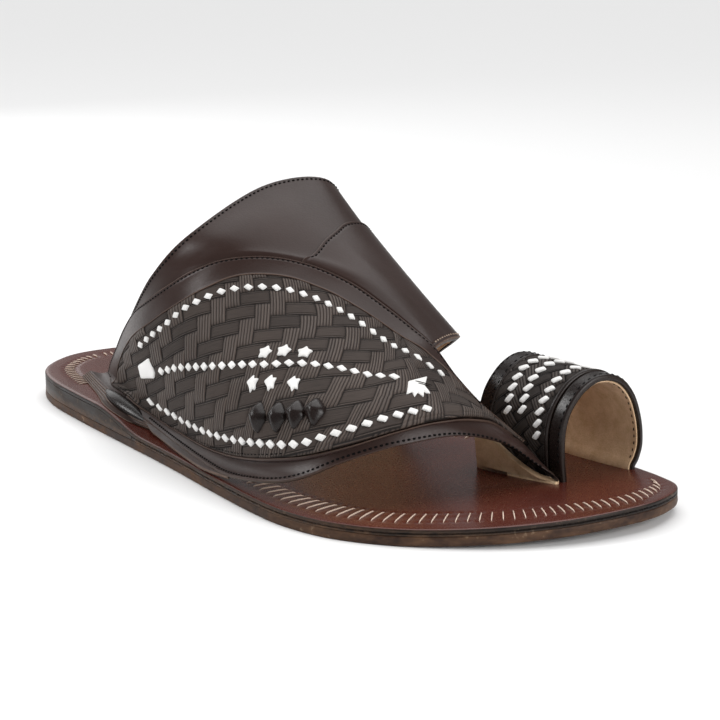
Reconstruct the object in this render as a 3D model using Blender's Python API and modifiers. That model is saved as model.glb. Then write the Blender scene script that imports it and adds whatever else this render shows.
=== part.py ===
"""Arabic sandal for the right foot: layered sole, strap upper, toe post and big toe ring.

Frame: +X to the toe, +Y to the inner side of the foot, +Z up, origin under the middle of the sole.
Tables are in millimetres and the built meshes are in metres.
"""
import bpy
import bmesh
import numpy as np

MM = 0.001
HALF_LENGTH = 142.5
GAP = 0.3

# Sole stack, millimetres.
OUTSOLE_THICKNESS = 3.2
INSOLE_THICKNESS = 1.6
FOREFOOT_TOP = 5.6
HEEL_TOP = 10.4
RAMP_START = -72.0
RAMP_LENGTH = 37.0
SPRING_START = 87.0
SPRING_RISE = 3.4
EDGE_CHAMFER = 0.3
SOLE_STATIONS = 56
FINE_STEPS = 24

# Leather, millimetres.
UPPER_WALL = 2.2
RING_WALL = 2.2
POST_WALL = 2.0
SLIT_DEPTH = INSOLE_THICKNESS - GAP
SLIT_CLEARANCE = 0.4
FOOT_STRAIGHT = 3.0

# Sole outline (x, y): heel, outer side, toe, inner side.
OUTLINE = [
    (-142.5, 2.0), (-139.0, -12.0), (-129.0, -25.0), (-112.0, -33.0), (-85.0, -38.5), (-50.0, -44.0),
    (-15.0, -49.5), (20.0, -56.0), (45.0, -60.0), (62.0, -61.0), (80.0, -58.0), (98.0, -49.0),
    (114.0, -36.0), (127.0, -21.0), (137.0, -3.0), (142.5, 18.0), (140.5, 33.0), (134.0, 43.0),
    (122.0, 49.0), (110.0, 52.5), (97.0, 55.5), (82.0, 57.0), (62.0, 54.5), (38.0, 48.0),
    (10.0, 41.5), (-30.0, 36.5), (-70.0, 35.5), (-105.0, 36.0), (-126.0, 32.0), (-138.0, 21.0),
]

# Side panel sections, heel to toe: lower edge, seam inside the plain border, upper edge (x, y, z).
PANEL_SECTIONS = [
    {"edge": (-104, -21, 13.6), "seam": (-92, -20, 16), "top": (-35, -39.5, 64)},
    {"edge": (-86, -28, 13.3), "seam": (-81, -24.5, 16.2), "top": (-31.5, -38.8, 64.5)},
    {"edge": (-68, -34, 13), "seam": (-65, -29.5, 15.8), "top": (-27, -37.8, 65.5)},
    {"edge": (-49, -37, 9.8), "seam": (-48, -34.5, 13.5), "top": (-21.5, -36, 67.2)},
    {"edge": (-30, -41.5, 8.2), "seam": (-30, -39, 12.5), "top": (-14.5, -32.5, 69.8)},
    {"edge": (-12, -47, 8.2), "seam": (-12, -43.5, 13), "top": (-5.5, -26, 72.3)},
    {"edge": (8, -52.5, 8.2), "seam": (7, -48, 13.5), "top": (4.5, -17.5, 72.4)},
    {"edge": (28, -57.5, 9), "seam": (25, -51.5, 15), "top": (15.5, -9, 69.8)},
    {"edge": (50, -60.5, 12.5), "seam": (44, -54, 18), "top": (27, -2, 64.7)},
    {"edge": (66, -58, 16), "seam": (61, -52.5, 22), "top": (38, 2, 58.5)},
    {"edge": (79, -48, 22), "seam": (75, -46, 26.5), "top": (49, 5.5, 51.5)},
    {"edge": (88, -33, 27), "seam": (84, -33, 30.5), "top": (59, 7, 45.5)},
    {"edge": (92.5, -14, 27), "seam": (88.5, -16, 31.5), "top": (66, 10, 36.5)},
    {"edge": (95.5, 3, 21.5), "seam": (91.5, 0, 26.5), "top": (76, 13.5, 27)},
    {"edge": (99, 15, 12.8), "seam": (95.5, 13.2, 16.8), "top": (86, 17.8, 19.2)},
    {"edge": (102, 19.6, 9.2), "seam": (99.6, 19.2, 10.7), "top": (93, 20.2, 14.2)},
]
BAND_SECTIONS = 11
STEPS_PER_SECTION = 3
BORDER_STEPS = 3
PANEL_STEPS = 12
BAND_STEPS = 21

# Instep band, back edge to front edge: points over the instep between the panel and the inner foot line.
BAND_RIBS = [
    {"shoulder": (-24.5, -31, 78.5), "crest": (-20.5, 0, 93), "inner": (-15.5, 26, 92.5),
     "side": (-26, 37.5, 73), "low": (-50, 35.5, 40)},
    {"shoulder": (-7, -22, 77.6), "crest": (0, 2, 83.2), "inner": (5, 24, 78),
     "side": (-4, 37, 62), "low": (-28, 37.5, 33)},
    {"shoulder": (25, 1, 67.8), "crest": (29, 12, 65.4), "inner": (29, 26, 59.5),
     "side": (17, 38, 49.5), "low": (-3, 39.5, 27)},
    {"shoulder": (57, 12, 46.2), "crest": (54, 19, 46), "inner": (50, 27, 44.5),
     "side": (38, 37, 39.5), "low": (18, 41, 26)},
]
# Where the inner side of the band goes into the insole (x, y).
INNER_FOOT = [(-70, 29.5), (-40, 30.5), (-15, 33), (7, 36.5)]

# Toe ring: arch profile from outer foot to inner foot, as (across, up) shares of its half width and height.
RING_PROFILE = [
    (-0.95, 0.0), (-0.95, 0.06), (-0.99, 0.22), (-1.0, 0.45), (-0.93, 0.63), (-0.77, 0.78), (-0.45, 0.93),
    (-0.05, 1.0), (0.42, 0.95), (0.76, 0.78), (0.95, 0.53), (1.0, 0.29), (0.92, 0.14), (0.82, 0.06), (0.82, 0.0),
]
RING_BACK = {"x": 68.5, "y": 38.0, "half_width": 16.2, "top": 40.5, "skew": 3.0}
RING_FRONT = {"x": 107.3, "y": 37.4, "half_width": 15.5, "top": 39.5, "skew": 3.9}
RING_LENGTH_STEPS = 10
RING_ARCH_STEPS = 30

# Toe post: foot line and top line (x, y, z), top line under the panel tip.
POST_FOOT = [(71, 15.5), (85, 16.8), (98, 18.8)]
POST_TOP = [(73, 11.5, 24.2), (85, 15, 14.9), (96, 17.6, 8.6)]
POST_LENGTH_STEPS = 8
POST_HEIGHT_STEPS = 5


def smooth_step(value):
    share = np.clip(value, 0.0, 1.0)
    return share * share * (3.0 - 2.0 * share)


def ground_line(x):
    """Height of the sole's underside: flat, then a light toe spring."""
    share = np.clip((x - SPRING_START) / (HALF_LENGTH - SPRING_START), 0.0, 1.0)
    return SPRING_RISE * share ** 2


def insole_top(x):
    """Height of the surface that the foot stands on."""
    fall = HEEL_TOP - FOREFOOT_TOP
    return HEEL_TOP - fall * smooth_step((x - RAMP_START) / RAMP_LENGTH) + ground_line(x)


def through(points, steps, closed=False):
    """Catmull-Rom curve through the points, with the same number of steps between neighbours."""
    points = np.array(points, dtype=float)
    if closed:
        padded = np.vstack([points[-1:], points, points[:2]])
    else:
        padded = np.vstack([2 * points[0] - points[1], points, 2 * points[-1] - points[-2]])
    shares = np.linspace(0.0, 1.0, steps, endpoint=False)[:, None]
    pieces = []
    for before, start, end, after in zip(padded, padded[1:], padded[2:], padded[3:]):
        linear = end - before
        square = 2 * before - 5 * start + 4 * end - after
        cube = 3 * start - before - 3 * end + after
        pieces.append(0.5 * (2 * start + linear * shares + square * shares ** 2 + cube * shares ** 3))
    if not closed:
        pieces.append(points[-1:])
    return np.vstack(pieces)


def evenly(points, count, skipped=0):
    """The curve through the points, sampled at equal distances after the skipped first pieces."""
    fine = through(points, FINE_STEPS)[FINE_STEPS * skipped:]
    travelled = np.r_[0.0, np.cumsum(np.linalg.norm(np.diff(fine, axis=0), axis=1))]
    wanted = np.linspace(0.0, travelled[-1], count)
    return np.column_stack([np.interp(wanted, travelled, axis) for axis in fine.T])


def material(name, color, roughness):
    made = bpy.data.materials.new(name)
    made.use_nodes = True
    shader = made.node_tree.nodes["Principled BSDF"]
    shader.inputs["Base Color"].default_value = (*color, 1.0)
    shader.inputs["Roughness"].default_value = roughness
    shader.inputs["Metallic"].default_value = 0.0
    return made


def add_object(name, mesh, finish, collection):
    made = bpy.data.objects.new(name, mesh)
    collection.objects.link(made)
    if finish:
        mesh.materials.append(finish)
    return made


def grid_mesh(name, grids):
    """One open mesh from grids of points, welded where their borders coincide.

    Rows run along the foot and points run up the outer side, so that the faces look outwards.
    """
    build = bmesh.new()
    for grid in grids:
        rows = [[build.verts.new(point * MM) for point in row] for row in grid]
        for row, following in zip(rows, rows[1:]):
            for a, b, c, d in zip(row, following, following[1:], row[1:]):
                build.faces.new((a, b, c, d))
    bmesh.ops.remove_doubles(build, verts=build.verts, dist=0.00001)
    mesh = bpy.data.meshes.new(name)
    build.to_mesh(mesh)
    build.free()
    mesh.shade_smooth()
    return mesh


def thicken(made, thickness, offset):
    shell = made.modifiers.new("wall", "SOLIDIFY")
    shell.thickness = thickness * MM
    shell.offset = offset
    shell.use_even_offset = True
    shell.use_quality_normals = True
    return shell


def outline_sides():
    """Outer and inner edge of the sole at the same stations, heel to toe."""
    fine = through(OUTLINE, FINE_STEPS, closed=True)
    heel = int(np.argmin(fine[:, 0]))
    fine = np.roll(fine, -heel, axis=0)
    toe = int(np.argmax(fine[:, 0]))
    outer = fine[:toe + 1]
    inner = np.vstack([fine[toe:], fine[:1]])[::-1]
    angles = np.linspace(0.0, np.pi, SOLE_STATIONS + 1)
    middle = (fine[0, 0] + fine[toe, 0]) / 2
    x = middle - (fine[toe, 0] - fine[0, 0]) / 2 * np.cos(angles)
    return x, np.interp(x, outer[:, 0], outer[:, 1]), np.interp(x, inner[:, 0], inner[:, 1])


def sole_layer(name, under, over, finish, collection):
    """A layer of the sole between two heights, with chamfered edges."""
    x, outer, inner = outline_sides()
    levels = [(under, 0.0, EDGE_CHAMFER), (under, EDGE_CHAMFER, 0.0), (over, -EDGE_CHAMFER, 0.0), (over, 0.0, EDGE_CHAMFER)]
    build = bmesh.new()
    rings = []
    for height, lift, inset in levels:
        shrink = 1.0 - inset / HALF_LENGTH
        z = height(x) + lift
        half = np.minimum(inset, (inner - outer) / 2 * 0.5)
        outer_side = [build.verts.new(p) for p in np.column_stack([x * shrink, outer + half, z]) * MM]
        inner_side = [build.verts.new(p) for p in np.column_stack([x * shrink, inner - half, z])[1:-1] * MM]
        rings.append((outer_side, inner_side))
    for (low_outer, low_inner), (high_outer, high_inner) in zip(rings, rings[1:]):
        low = low_outer + low_inner[::-1]
        high = high_outer + high_inner[::-1]
        for k in range(len(low)):
            n = (k + 1) % len(low)
            build.faces.new((low[k], low[n], high[n], high[k]))
    for outer_side, inner_side in (rings[0], rings[-1]):
        build.faces.new((outer_side[0], outer_side[1], inner_side[0]))
        build.faces.new((outer_side[-1], outer_side[-2], inner_side[-1]))
        for k in range(len(inner_side) - 1):
            build.faces.new((outer_side[k + 1], outer_side[k + 2], inner_side[k + 1], inner_side[k]))
    bmesh.ops.recalc_face_normals(build, faces=build.faces)
    mesh = bpy.data.meshes.new(name)
    build.to_mesh(mesh)
    build.free()
    return add_object(name, mesh, finish, collection)


def inner_foot_line(count, lift):
    """The band's inner foot line, at a height above the insole."""
    line = evenly([(x, y, 0.0) for x, y in INNER_FOOT], count)
    line[:, 2] = insole_top(line[:, 0]) + lift
    return line


def unit(vectors):
    return vectors / np.linalg.norm(vectors, axis=-1, keepdims=True)


def band_surface(panel_top, rising):
    """Instep band: ribs from the panel's upper edge, in line with the panel, over to the inner foot line."""
    steps = (len(panel_top) - 1) // (len(BAND_RIBS) - 1)
    lines = [through([rib[key] for rib in BAND_RIBS], steps) for key in ("shoulder", "crest", "inner", "side", "low")]
    foot = inner_foot_line(len(panel_top), FOOT_STRAIGHT)
    before = panel_top - rising * np.linalg.norm(lines[0] - panel_top, axis=1, keepdims=True)
    ribs = zip(before, panel_top, *lines, foot)
    patch = np.array([evenly(rib, BAND_STEPS + 1, skipped=1) for rib in ribs])
    in_slit = inner_foot_line(len(panel_top), -SLIT_DEPTH)
    return np.concatenate([patch, in_slit[:, None]], axis=1)


def upper_surface():
    """Outer face of the upper: the panel from its lower edge to its upper edge, then the band."""
    edge, seam, top = (through([s[key] for s in PANEL_SECTIONS], STEPS_PER_SECTION) for key in ("edge", "seam", "top"))
    last = BAND_SECTIONS * STEPS_PER_SECTION
    station = np.linspace(0.0, len(PANEL_SECTIONS) - 1, len(top))[:, None]
    chord = top - seam
    span = np.linalg.norm(chord, axis=1, keepdims=True)
    straight = chord / span
    band = band_surface(top[:last + 1], straight[:last + 1])
    # The panel runs on into the band without a kink, and straightens towards its tip.
    run_on = np.vstack([unit(band[:, 1] - band[:, 0]), np.repeat(unit(band[-1:, 1] - band[-1:, 0]), len(top) - last - 1, 0)])
    past = np.clip((station - BAND_SECTIONS) / (station[-1] - BAND_SECTIONS), 0.0, 1.0)
    arrive = unit((1 - past) * run_on + past * straight)
    # It rises steeply from the sole's edge, and leans over more above the toes.
    steep = unit(np.array([0.0, -0.25, 1.0]))
    leaning = 0.75 * straight + np.array([-0.15, 0.0, 0.55])
    over_toes = smooth_step((station - 6.0) / 5.0)
    leave = unit((1 - over_toes) * steep + over_toes * leaning)
    at_tip = smooth_step((station - 12.0) / 3.0)
    at_heel = smooth_step(1.0 - station / 3.0)
    leave = unit((1 - at_tip) * (1 - at_heel) * leave + (at_tip + at_heel) * straight)
    fullness = 1.0 - 0.5 * at_heel
    s = np.linspace(0.0, 1.0, PANEL_STEPS)[None, :, None]
    pull = (span * fullness)[:, None]
    panel = (2 * s ** 3 - 3 * s ** 2 + 1) * seam[:, None] + (s ** 3 - 2 * s ** 2 + s) * leave[:, None] * pull
    panel = panel + (3 * s ** 2 - 2 * s ** 3) * top[:, None] + (s ** 3 - s ** 2) * arrive[:, None] * pull
    # The plain border flares out from the seam to the lower edge.
    corner = seam - leave * np.linalg.norm(seam - edge, axis=1, keepdims=True) * 0.5
    f = np.linspace(0.0, 1.0, BORDER_STEPS + 1)[None, :-1, None]
    border = (1 - f) ** 2 * edge[:, None] + 2 * f * (1 - f) * corner[:, None] + f ** 2 * seam[:, None]
    return np.concatenate([border, panel], axis=1), band


def ring_surface():
    """Outer face of the toe ring, back rim to front rim."""
    profile = evenly([(a, h, 0.0) for a, h in RING_PROFILE], RING_ARCH_STEPS + 1)
    across, up = profile[:, 0], profile[:, 1]
    rows = []
    for share in np.linspace(0.0, 1.0, RING_LENGTH_STEPS + 1):
        size = {key: (1 - share) * RING_BACK[key] + share * RING_FRONT[key] for key in RING_BACK}
        x = size["x"] + size["skew"] * across
        y = size["y"] + size["half_width"] * across
        foot = insole_top(x) - SLIT_DEPTH
        rows.append(np.column_stack([x, y, foot + (size["top"] - foot) * up]))
    return np.array(rows)


def post_surface():
    """Middle face of the toe post, foot line to top line."""
    foot = evenly([(x, y, 0.0) for x, y in POST_FOOT], POST_LENGTH_STEPS + 1)
    floor = insole_top(foot[:, 0])
    in_slit = np.column_stack([foot[:, :2], floor - SLIT_DEPTH])
    low = np.column_stack([foot[:, :2], floor + 1.0])
    top = evenly(POST_TOP, POST_LENGTH_STEPS + 1)
    share = np.linspace(0.0, 1.0, POST_HEIGHT_STEPS + 1)[None, :, None]
    return np.concatenate([in_slit[:, None], (1 - share) * low[:, None] + share * top[:, None]], axis=1)


def slit_cutter(name, line, width, collection):
    """An upright blade along a foot line, with clearance on each side of the strap."""
    start = line[0] + unit(line[0] - line[1]) * SLIT_CLEARANCE
    end = line[-1] + unit(line[-1] - line[-2]) * SLIT_CLEARANCE
    line = np.vstack([start, line[1:-1], end])
    low = np.column_stack([line[:, :2], insole_top(line[:, 0]) - INSOLE_THICKNESS * 2])
    high = np.column_stack([line[:, :2], insole_top(line[:, 0]) + INSOLE_THICKNESS])
    made = add_object(name, grid_mesh(name, [np.stack([low, high], axis=1)]), None, collection)
    thicken(made, width + 2 * SLIT_CLEARANCE, 0.0)
    made.hide_render = True
    made.display_type = "WIRE"
    return made


def cut(made, cutter):
    step = made.modifiers.new("cut " + cutter.name, "BOOLEAN")
    step.operation = "DIFFERENCE"
    step.object = cutter


def build_sandal():
    for old in list(bpy.data.objects):
        bpy.data.objects.remove(old)
    sandal = bpy.data.collections.new("arabic_sandal")
    cutters = bpy.data.collections.new("cutters")
    for collection in (sandal, cutters):
        bpy.context.scene.collection.children.link(collection)
    brown = material("plain dark brown leather", (0.040, 0.026, 0.024), 0.35)
    burgundy = material("burgundy insole leather", (0.150, 0.040, 0.028), 0.30)
    edge_paint = material("dark edge paint", (0.050, 0.042, 0.038), 0.55)
    tan = material("tan suede lining", (0.350, 0.230, 0.140), 0.90)
    sole_brown = material("brown sole leather", (0.130, 0.085, 0.055), 0.60)

    def outsole_top(x):
        return ground_line(x) + OUTSOLE_THICKNESS

    def insole_under(x):
        return insole_top(x) - INSOLE_THICKNESS

    sole_layer("outsole", ground_line, outsole_top, sole_brown, sandal)
    sole_layer("midsole", outsole_top, insole_under, edge_paint, sandal)
    insole = sole_layer("insole", insole_under, insole_top, burgundy, sandal)

    panel, band = upper_surface()
    upper = add_object("upper", grid_mesh("upper", [panel, band]), brown, sandal)
    thicken(upper, UPPER_WALL, -1.0)

    ring_grid = ring_surface()
    ring = add_object("toe_ring", grid_mesh("toe_ring", [ring_grid]), brown, sandal)
    thicken(ring, RING_WALL, -1.0)

    post_grid = post_surface()
    post = add_object("toe_post", grid_mesh("toe_post", [post_grid]), tan, sandal)
    thicken(post, POST_WALL, 0.0)

    half_wall = np.array([0.0, UPPER_WALL / 2, 0.0])
    half_ring = np.array([0.0, RING_WALL / 2, 0.0])
    slits = {
        "band slit": (inner_foot_line(12, 0.0) - half_wall, UPPER_WALL),
        "outer ring slit": (ring_grid[:, 0] + half_ring, RING_WALL),
        "inner ring slit": (ring_grid[:, -1] - half_ring, RING_WALL),
        "post slit": (post_grid[:, 0], POST_WALL),
    }
    for name, (line, width) in slits.items():
        cut(insole, slit_cutter(name, line, width, cutters))


build_sandal()
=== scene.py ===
import bpy
import math
import numpy as np
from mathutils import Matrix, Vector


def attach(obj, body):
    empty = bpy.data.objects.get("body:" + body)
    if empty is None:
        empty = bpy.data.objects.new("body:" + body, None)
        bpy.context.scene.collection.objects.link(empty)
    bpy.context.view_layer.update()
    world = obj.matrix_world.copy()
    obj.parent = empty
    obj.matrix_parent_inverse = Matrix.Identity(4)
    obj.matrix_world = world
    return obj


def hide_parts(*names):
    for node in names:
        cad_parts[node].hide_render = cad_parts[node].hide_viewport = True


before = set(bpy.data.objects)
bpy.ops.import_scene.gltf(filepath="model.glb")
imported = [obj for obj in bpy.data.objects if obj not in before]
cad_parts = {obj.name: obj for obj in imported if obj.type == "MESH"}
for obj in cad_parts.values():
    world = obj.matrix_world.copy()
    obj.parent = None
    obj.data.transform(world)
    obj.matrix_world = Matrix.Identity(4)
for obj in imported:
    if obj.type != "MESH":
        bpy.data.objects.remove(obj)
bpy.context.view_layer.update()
mm = 0.001


# Curves and surfaces

def unit(vectors):
    return vectors / np.maximum(np.linalg.norm(vectors, axis=-1, keepdims=True), 1e-12)


def smoothStep(value):
    share = np.clip(value, 0.0, 1.0)
    return share * share * (3.0 - 2.0 * share)


def hump(value, middle, width):
    # a bell curve that is one at its middle
    return np.exp(-((value - middle) / width) ** 2)


def through(points, steps, closed=False):
    # Catmull-Rom: between two points, a cubic whose slopes there point from the neighbour before to the one after
    points = np.array(points, dtype=float)
    if closed:
        padded = np.vstack([points[-1:], points, points[:2]])
    else:
        padded = np.vstack([2 * points[0] - points[1], points, 2 * points[-1] - points[-2]])
    t = np.linspace(0.0, 1.0, steps, endpoint=False)[None, :, None]
    before, start, end, after = (padded[k:len(padded) - 3 + k, None] for k in range(4))
    square = 2 * before - 5 * start + 4 * end - after
    cube = 3 * start - before - 3 * end + after
    curve = 0.5 * (2 * start + (end - before) * t + square * t ** 2 + cube * t ** 3)
    curve = curve.reshape(-1, points.shape[1])
    return curve if closed else np.vstack([curve, points[-1:]])


def travelled(line):
    # distance along a line of points, from its start
    return np.r_[0.0, np.cumsum(np.linalg.norm(np.diff(line, axis=0), axis=1))]


def readAt(wanted, far, table):
    # every column of a table, read between its rows
    return np.column_stack([np.interp(wanted, far, column) for column in table.T])


def spaced(line, count):
    # the line read at equal distances
    far = travelled(line)
    return readAt(np.linspace(0.0, far[-1], count), far, line)


def evenly(points, count, skipped=0, fine=24):
    return spaced(through(points, fine)[fine * skipped:], count)


def packed(start, end, count, tight=0.8):
    # from start to end, with the steps near both ends shorter
    s = np.linspace(0.0, 1.0, count)
    return start + (end - start) * (s - tight * np.sin(2 * np.pi * s) / (2 * np.pi))


def cubicWeights(share):
    return [-0.5 * share + share ** 2 - 0.5 * share ** 3, 1 - 2.5 * share ** 2 + 1.5 * share ** 3,
            0.5 * share + 2 * share ** 2 - 1.5 * share ** 3, -0.5 * share ** 2 + 0.5 * share ** 3]


def readGrid(grid, row, col):
    # bicubic reading of a grid at fractional rows and columns: the sum of 4 x 4 neighbours times cubic weights
    wide = np.concatenate([2 * grid[:1] - grid[1:2], grid, 2 * grid[-1:] - grid[-2:-1]], axis=0)
    wide = np.concatenate([2 * wide[:, :1] - wide[:, 1:2], wide, 2 * wide[:, -1:] - wide[:, -2:-1]], axis=1)
    rowAt = np.clip(np.floor(row).astype(int), 0, grid.shape[0] - 2)
    colAt = np.clip(np.floor(col).astype(int), 0, grid.shape[1] - 2)
    rowWeights, colWeights = cubicWeights(row - rowAt), cubicWeights(col - colAt)
    return sum(wide[rowAt + i, colAt + k] * (rowWeights[i] * colWeights[k])[..., None]
               for i in range(4) for k in range(4))


def distances(points, axis):
    # distance along the grid from its first row or column
    step = np.linalg.norm(np.diff(points, axis=axis), axis=-1)
    start = np.zeros_like(np.take(step, [0], axis=axis))
    return np.concatenate([start, np.cumsum(step, axis=axis)], axis=axis)


class Surface:
    # a grid of points with normals across its rows and columns, read at fractional rows and columns
    def __init__(self, grid):
        self.grid = grid
        self.normals = unit(np.cross(np.gradient(grid, axis=0), np.gradient(grid, axis=1)))
        self.lastRow, self.lastCol = grid.shape[0] - 1, grid.shape[1] - 1

    def points(self, row, col):
        return readGrid(self.grid, row, col)

    def read(self, row, col):
        return self.points(row, col), unit(readGrid(self.normals, row, col))

    def nearest(self, points):
        # row and column of the surface's nearest grid point to each point, bettered by Newton steps
        nearest = np.argmin(((points[:, None] - self.grid.reshape(-1, 3)[None]) ** 2).sum(-1), axis=1)
        place = np.column_stack(np.unravel_index(nearest, self.grid.shape[:2])).astype(float)
        for _ in range(6):
            here = self.points(*place.T)
            byRow = (self.points(place[:, 0] + 0.01, place[:, 1]) - here) / 0.01
            byCol = (self.points(place[:, 0], place[:, 1] + 0.01) - here) / 0.01
            rr, cc, rc = (byRow * byRow).sum(-1), (byCol * byCol).sum(-1), (byRow * byCol).sum(-1)
            mr, mc = ((points - here) * byRow).sum(-1), ((points - here) * byCol).sum(-1)
            det = np.maximum(rr * cc - rc * rc, 1e-9)
            step = np.column_stack([(mr * cc - mc * rc) / det, (mc * rr - mr * rc) / det])
            place = np.clip(place + np.clip(step, -1.0, 1.0), 0.0, [self.lastRow, self.lastCol])
        return place


# The shoe's own surfaces, in millimetres

sole = {
    "halfLength": 142.5, "heelTop": 10.4, "forefootTop": 5.6, "rampStart": -72.0, "rampLength": 37.0,
    "springStart": 87.0, "springRise": 3.4, "outsole": 3.2, "insole": 1.6,
    "outline": [
        (-142.5, 2), (-139, -12), (-129, -25), (-112, -33), (-85, -38.5), (-50, -44), (-15, -49.5), (20, -56),
        (45, -60), (62, -61), (80, -58), (98, -49), (114, -36), (127, -21), (137, -3), (142.5, 18), (140.5, 33),
        (134, 43), (122, 49), (110, 52.5), (97, 55.5), (82, 57), (62, 54.5), (38, 48), (10, 41.5), (-30, 36.5),
        (-70, 35.5), (-105, 36), (-126, 32), (-138, 21),
    ],
}

upper = {
    "rowSteps": 12, "borderSteps": 9, "panelSteps": 60, "bandSteps": 90, "bandSections": 11,
    "sections": [  # lower edge, seam, upper line, heel to toe
        ((-104, -21, 13.6), (-92, -20, 16), (-35, -39.5, 64)),
        ((-86, -28, 13.3), (-81, -24.5, 16.2), (-31.5, -38.8, 64.5)),
        ((-68, -34, 13), (-65, -29.5, 15.8), (-27, -37.8, 65.5)),
        ((-49, -37, 9.8), (-48, -34.5, 13.5), (-21.5, -36, 67.2)),
        ((-30, -41.5, 8.2), (-30, -39, 12.5), (-14.5, -32.5, 69.8)),
        ((-12, -47, 8.2), (-12, -43.5, 13), (-5.5, -26, 72.3)),
        ((8, -52.5, 8.2), (7, -48, 13.5), (4.5, -17.5, 72.4)),
        ((28, -57.5, 9), (25, -51.5, 15), (15.5, -9, 69.8)),
        ((50, -60.5, 12.5), (44, -54, 18), (27, -2, 64.7)),
        ((66, -58, 16), (61, -52.5, 22), (38, 2, 58.5)),
        ((79, -48, 22), (75, -46, 26.5), (49, 5.5, 51.5)),
        ((88, -33, 27), (84, -33, 30.5), (59, 7, 45.5)),
        ((92.5, -14, 27), (88.5, -16, 31.5), (66, 10, 36.5)),
        ((95.5, 3, 21.5), (91.5, 0, 26.5), (76, 13.5, 27)),
        ((99.8, 15.4, 11.8), (96.5, 13.8, 15.8), (87.5, 18, 18.4)),
        ((104, 20, 7.6), (102, 19.8, 8.7), (96, 20.1, 11.6)),
    ],
    "tuck": 1.9,  # how far the border is rolled under over the toes
    "trim": 2.7,  # how far its edge is drawn up there, in grid steps
    "slitDepth": 1.2, "footLift": 3.0,
    "ribs": [  # shoulder, crest, inner, side, low, back to front
        ((-24.5, -31, 78.5), (-20.5, 0, 93), (-15.5, 26, 92.5), (-26, 37.5, 73), (-50, 35.5, 40)),
        ((-7, -22, 77.6), (0, 2, 83.2), (5, 24, 78), (-4, 37, 62), (-28, 37.5, 33)),
        ((25, 1, 67.8), (29, 12, 65.4), (29, 26, 59.5), (17, 38, 49.5), (-3, 39.5, 27)),
        ((57, 12, 46.2), (54, 19, 46), (50, 27, 44.5), (38, 37, 39.5), (18, 41, 26)),
    ],
    "innerFoot": [(-70, 29.5), (-40, 30.5), (-15, 33), (7, 36.5)],
}


def groundLine(x):
    # flat, then rising with the square of the distance into the toe spring
    share = np.clip((x - sole["springStart"]) / (sole["halfLength"] - sole["springStart"]), 0.0, 1.0)
    return sole["springRise"] * share ** 2


def outsoleTop(x):
    return groundLine(x) + sole["outsole"]


def insoleTop(x):
    # heel height, falling in an S to the forefoot height, on top of the ground line
    fall = sole["heelTop"] - sole["forefootTop"]
    return sole["heelTop"] - fall * smoothStep((x - sole["rampStart"]) / sole["rampLength"]) + groundLine(x)


def insoleUnder(x):
    return insoleTop(x) - sole["insole"]


def innerFootLine(count, lift):
    line = evenly([(x, y, 0.0) for x, y in upper["innerFoot"]], count)
    line[:, 2] = insoleTop(line[:, 0]) + lift
    return line


def bandSurface(top, straight):
    # ribs from the panel's upper line over the instep to the inner foot line, read at equal distances
    ribSteps = (len(top) - 1) // (len(upper["ribs"]) - 1)
    lines = [through([rib[k] for rib in upper["ribs"]], ribSteps) for k in range(5)]
    before = top - straight * np.linalg.norm(lines[0] - top, axis=1, keepdims=True)
    ribs = zip(before, top, *lines, innerFootLine(len(top), upper["footLift"]))
    band = np.array([evenly(rib, upper["bandSteps"] + 1, skipped=1) for rib in ribs])
    return np.concatenate([band, innerFootLine(len(top), -upper["slitDepth"])[:, None]], axis=1)


def panelSurface(edge, seam, top, band, straight, span):
    # a flared border from the edge to the seam, then in each section a cubic from the seam to the upper line,
    # which it meets in the direction of the band or, past the band, straight on
    sections, last = len(upper["sections"]) - 1, len(band) - 1
    station = np.linspace(0.0, sections, len(top))[:, None]
    firstLeg = unit(band[:, 3] - band[:, 0])
    runOn = np.vstack([firstLeg, np.repeat(firstLeg[-1:], len(top) - last - 1, 0)])
    past = np.clip((station - upper["bandSections"]) / (sections - upper["bandSections"]), 0.0, 1.0)
    arrive = unit((1 - past) * runOn + past * straight)
    steep = unit(np.array([0.0, -0.25, 1.0]))
    leaning = 0.75 * straight + np.array([-0.15, 0.0, 0.55])
    overToes = smoothStep((station - 6.0) / 5.0)
    leave = unit((1 - overToes) * steep + overToes * leaning)
    atTip, atHeel = smoothStep((station - 12.0) / 3.0), smoothStep(1.0 - station / 3.0)
    leave = unit((1 - atTip) * (1 - atHeel) * leave + (atTip + atHeel) * straight)
    pull = (span * (1.0 - 0.5 * atHeel))[:, None]
    s = np.linspace(0.0, 1.0, upper["panelSteps"] + 1)[None, :, None]
    panel = (2 * s ** 3 - 3 * s ** 2 + 1) * seam[:, None] + (s ** 3 - 2 * s ** 2 + s) * leave[:, None] * pull
    panel = panel + (3 * s ** 2 - 2 * s ** 3) * top[:, None] + (s ** 3 - s ** 2) * arrive[:, None] * pull
    corner = seam - leave * np.linalg.norm(seam - edge, axis=1, keepdims=True) * 0.5
    f = np.linspace(0.0, 1.0, upper["borderSteps"] + 1)[None, :-1, None]
    border = (1 - f) ** 2 * edge[:, None] + 2 * f * (1 - f) * corner[:, None] + f ** 2 * seam[:, None]
    grid = np.concatenate([border, panel], axis=1)
    low = np.clip(1 - np.arange(grid.shape[1]) / (upper["borderSteps"] + 3), 0.0, 1.0)
    window = smoothStep((station - 7.5) / 2.0) * (1 - smoothStep((station - 11.0) / 2.0))
    return grid - Surface(grid).normals * (upper["tuck"] * window * low ** 2)[..., None]


def upperSurfaces():
    edge, seam, top = (through([s[k] for s in upper["sections"]], upper["rowSteps"]) for k in range(3))
    span = np.linalg.norm(top - seam, axis=1, keepdims=True)
    straight = (top - seam) / span
    bandRows = upper["bandSections"] * upper["rowSteps"] + 1
    band = bandSurface(top[:bandRows], straight[:bandRows])
    return Surface(panelSurface(edge, seam, top, band, straight, span)), Surface(band)


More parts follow.
